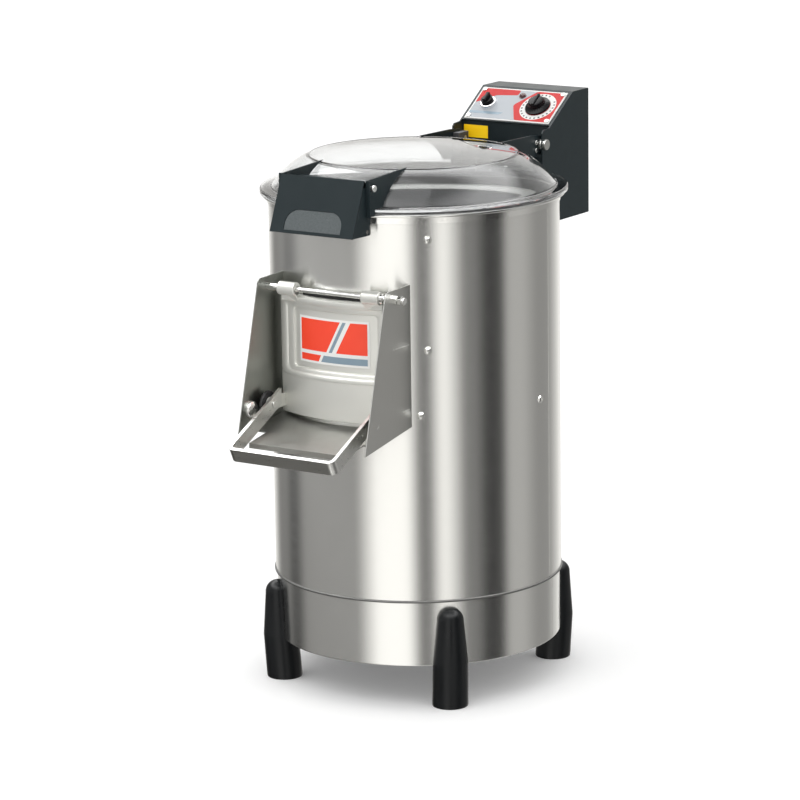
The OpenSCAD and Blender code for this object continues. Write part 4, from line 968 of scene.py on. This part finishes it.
# Dial of the timer: a white ring printed on the panel round the knob, with dark square marks at
# even steps and no figures.
dial_in = 19 * mm
dial_out = 27.5 * mm
mark_radius = 23.4 * mm
marks = 22
mark_size = 2.5 * mm
first_mark = 70
dial_sweep = 320
ring = turned(square_ring(dial_in, dial_out, 0, ink), 96)
timer_spot = on_panel @ Matrix.Translation((timer_at.x, timer_at.y, plate_face_n + 2 * ink))
piece("dial_ring", place(ring, timer_spot), film_white, "machine", "red_panel")
mark_black = mottled("print_black", (0.02, 0.02, 0.02), 0.4, 0.0, 90, 0.34, 0.46)
dial_marks = []
for i in range(marks):
    turn = Matrix.Rotation(math.radians(first_mark + i * dial_sweep / (marks - 1)), 4, "Z")
    mark = slab((mark_radius, mark_radius + mark_size), (-mark_size / 2, mark_size / 2), (0, ink))
    dial_marks.append(place(mark, timer_spot @ Matrix.Translation((0, 0, ink)) @ turn))
piece("dial_marks", join(dial_marks), mark_black, "machine", "red_panel")

# Timer knob: one moulding of glossy black plastic pushed on the timer's spindle, with a round
# skirt, a fluted grip and a raised pointer bar.
skirt_r = 18.8 * mm
grip_r = 12 * mm
knob_top = 16.6 * mm
flutes = 24
flute_depth = 0.5 * mm
flute_from = 7.4 * mm
knob_plastic, knob_shader = finish("knob_plastic", (0.003, 0.003, 0.004), 0.26, specular=0.15)
sheen(knob_plastic, knob_shader, pattern(knob_plastic, 120), 0.16, 0.3)
knob_outline = [(0, 2.6 * mm), (skirt_r - 0.4 * mm, 2.6 * mm), (skirt_r, 3.2 * mm)]
knob_outline += [(skirt_r - 0.5 * mm, 4.6 * mm), (grip_r + 2.4 * mm, 6.2 * mm)]
knob_outline += [(grip_r + 0.7 * mm, 7.6 * mm), (grip_r, 10 * mm)]
knob_outline += arc((grip_r - 2.6 * mm, knob_top - 4 * mm), 2.2 * mm, 0, 90, 5) + [(0, knob_top - 1.6 * mm)]
knob = turned(knob_outline, 240)
for vertex in knob.verts:
    radius = vertex.co.xy.length
    if vertex.co.z > flute_from and radius > grip_r - 3 * mm:
        wave = math.cos(flutes * math.atan2(vertex.co.y, vertex.co.x))
        vertex.co.xy *= 1 - flute_depth * (1 - wave) / 2 / radius
bar = slab((-2.2 * mm, 2.2 * mm), (-grip_r + 1.5 * mm, grip_r + 0.5 * mm), (8 * mm, knob_top))
round_off(bar, 1 * mm)
knob_parts = [place(part, on_panel @ Matrix.Translation((timer_at.x, timer_at.y, 0))) for part in (knob, bar)]
piece("timer_grip", join(knob_parts), knob_plastic, "timer", "black_plastic", "timer_knob")

# Switch: a chrome bezel ring fixed on the panel, round a small knob of black plastic with a
# pointer bar, pushed on the switch's spindle.
switch_spot = on_panel @ Matrix.Translation((switch_at.x, switch_at.y, plate_face_n))
chrome = mottled("bright_chrome", (0.86, 0.86, 0.86), 0.08, 1.0, 200, 0.05, 0.12)
bezel_in = 8 * mm
bezel_out = 12 * mm
bezel_outline = [(bezel_in, 0), (bezel_out, 0), (bezel_out, 3.4 * mm)]
bezel_outline += arc((10.2 * mm, 4.2 * mm), 1.8 * mm, 0, 90, 6)
bezel_outline += [(8.6 * mm, 5.6 * mm), (bezel_in, 4.6 * mm)]
bezel = place(turned(bezel_outline, 72), switch_spot)
piece("bezel", bezel, chrome, "machine", "bright_steel", "switch_bezel")
stub_outline = [(0, -12 * mm), (5.9 * mm, -12 * mm), (5.9 * mm, 6.2 * mm), (9 * mm, 6.4 * mm)]
stub_outline += arc((8.2 * mm, 10.4 * mm), 0.8 * mm, 0, 90, 3) + [(0, 11.2 * mm)]
stub = turned(stub_outline, 60)
pointer = slab((-2.8 * mm, 2.8 * mm), (-8 * mm, 9 * mm), (10 * mm, 16 * mm))
round_off(pointer, 1.2 * mm)
selector_parts = [place(part, switch_spot) for part in (stub, pointer)]
piece("selector_grip", join(selector_parts), knob_plastic, "selector", "black_plastic", "selector_knob")

# Pilot lamp: a dark red lens in a thin collar, set in the panel. Panel screws: small pan heads of
# plain steel at the corners of the plate.
red_lens, lens_shader = finish("dark_red_lens", (0.06, 0.006, 0.008), 0.12)
lens_shader.inputs["Coat Weight"].default_value = 0.6
tint(red_lens, lens_shader, pattern(red_lens, 200), (0.04, 0.004, 0.006), (0.08, 0.006, 0.009))
solid_piece("lamp_lens", "pilot_lamp", red_lens, "machine", "red_lens", 0.2 * mm)
solid_piece("plate_screws", "panel_screws", plain_steel, "machine", "bright_steel", 0.3 * mm)

# Lid: a clear moulded dome with a flat flange and a turned-down lip; a fine crease runs round it
# where the low crown meets the shoulder. A black gasket lies under the flange.
dome_radius = 196.4 * mm
dome_rise = 51.7 * mm
dome_wall = 3 * mm
dome_foot = 688.3 * mm
flange_radius = 211.6 * mm
flange_low = 684.3 * mm
lip_round = 2.5 * mm
lip_low = flange_low - 3.3 * mm
crease_at = 143 * mm
crease_rise = 0.7 * mm
crease_width = 1.6 * mm
shoulder_power = 6
shoulder_ease = 1.1


def crown(radius, foot, rise):
    """Height of the dome over its foot at a radius: a low crown inside the crease, and a shoulder"""
    share = min(max(radius, crease_at) / foot, 1)
    height = rise * (1 - share ** shoulder_power) ** shoulder_ease
    if radius < crease_at:
        height += (rise - height) * (1 - (radius / crease_at) ** 2)
    return height + crease_rise * math.exp(-((radius - crease_at) / crease_width) ** 2)


def crown_line(foot, rise):
    """One face of the dome, as points from its middle to its foot"""
    radii = [foot * math.sin(math.radians(90 * i / 60)) for i in range(61)]
    radii += [crease_at + k * 0.8 * mm for k in range(-4, 5)]
    return [(radius, dome_foot + crown(radius, foot, rise)) for radius in sorted(radii)]


outer_line = crown_line(dome_radius, dome_rise - crease_rise)
inner_line = crown_line(dome_radius - dome_wall, dome_rise - dome_wall - crease_rise)
lid_outline = outer_line[:-1] + [(dome_radius + 0.4 * mm, dome_foot + 1.2 * mm)]
lid_outline += [(dome_radius + 1.6 * mm, dome_foot)]
lip_in = flange_radius - lip_round
lid_outline += arc((lip_in, dome_foot - lip_round), lip_round, 90, 0, 6)
lid_outline += [(flange_radius, lip_low), (lip_in, lip_low)]
lid_outline += [(lip_in, flange_low), (dome_radius - dome_wall, flange_low)]
lid_outline += inner_line[::-1]
clear_plastic, clear_shader = finish("clear_polycarbonate", (0.97, 0.98, 0.98), 0.02)
clear_shader.inputs["Transmission Weight"].default_value = 1.0
clear_shader.inputs["IOR"].default_value = 1.5
sheen(clear_plastic, clear_shader, pattern(clear_plastic, 30, detail=5), 0.0, 0.05)
dome = piece("dome", turned(lid_outline, 240), clear_plastic, "lid", "clear_plastic", "lid_dome", sharp=50)
dome.visible_shadow = False
gasket_low, gasket_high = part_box("lid_gasket")
gasket_in = dome_radius - dome_wall + 1 * mm
gasket_round = 2 * mm
gasket_centre = (gasket_high.x - gasket_round, (gasket_low.z + gasket_high.z) / 2)
gasket_outline = [(gasket_in, gasket_low.z)] + arc(gasket_centre, gasket_round, -90, 90, 8)
gasket_outline += [(gasket_in, gasket_high.z)]
piece("gasket", turned(gasket_outline), rubber, "lid", "black_rubber", "lid_gasket")

# Lid hardware: the hood and its cross pin in front, the hinge bracket with its cast blocks
# behind, and the screws that hold both to the flange.
solid_piece("hood", "latch_bracket", black_coat, "lid", "black_coat", 0.5 * mm)
solid_piece("cross_pin", "latch_pin", satin_steel, "lid", "bright_steel", 0.5 * mm)
solid_piece("hinge_arms", "hinge_bracket", black_coat, "lid", "black_coat", 0.5 * mm)
solid_piece("hinge_casts", "hinge_blocks", cast_iron, "lid", "cast_aluminium", 1 * mm)
solid_piece("lid_fixings", "lid_screws", bright_steel, "lid", "bright_steel", 0.4 * mm)

# Latch cover: a folded black cover that swings on the cross pin, with a grained thumb pad let
# into its lower edge and the bar that catches behind the strikes.
pad_plastic, pad_shader = finish("grained_grey_plastic", (0.085, 0.095, 0.1), 0.5)
pad_grain = pattern(pad_plastic, 900, detail=3)
tint(pad_plastic, pad_shader, pad_grain, (0.045, 0.058, 0.061), (0.1, 0.114, 0.118))
relief(pad_plastic, pad_shader, pad_grain, 0.12 * mm)
solid_piece("cover", "latch_cover", black_coat, "latch", "black_coat", 0.7 * mm)
solid_piece("pad", "thumb_pad", pad_plastic, "latch", "grey_plastic", 0.4 * mm)
dress(bright_steel, "catch_bar")

# Floor: a plain white sheet that fades into the room and keeps the machine's shadow. It is
# left out of mirror reflections, so that the drum shows the soft boxes down to its foot.
floor_glow = 0.12
floor_paint, floor_shader = finish("white_floor", (0.9, 0.9, 0.9), 0.9, specular=0)
tint(floor_paint, floor_shader, pattern(floor_paint, 3), (0.895, 0.895, 0.895), (0.905, 0.905, 0.905))
floor_tree = floor_paint.node_tree
floor_ray = floor_tree.nodes.new("ShaderNodeLightPath")
floor_seen = math_node(floor_tree, "MAXIMUM", floor_ray.outputs["Is Camera Ray"],
    floor_ray.outputs["Is Transmission Ray"])
floor_lift = math_node(floor_tree, "MULTIPLY", floor_seen, floor_glow)
floor_shader.inputs["Emission Color"].default_value = (1, 1, 1, 1)
floor_tree.links.new(floor_lift, floor_shader.inputs["Emission Strength"])
floor_mesh = bmesh.new()
bmesh.ops.create_grid(floor_mesh, x_segments=2, y_segments=2, size=20)
floor_data = bpy.data.meshes.new("floor")
floor_mesh.to_mesh(floor_data)
floor_mesh.free()
floor_data.materials.append(floor_paint)
floor = bpy.data.objects.new("floor", floor_data)
floor.visible_glossy = False
scene.collection.objects.link(floor)
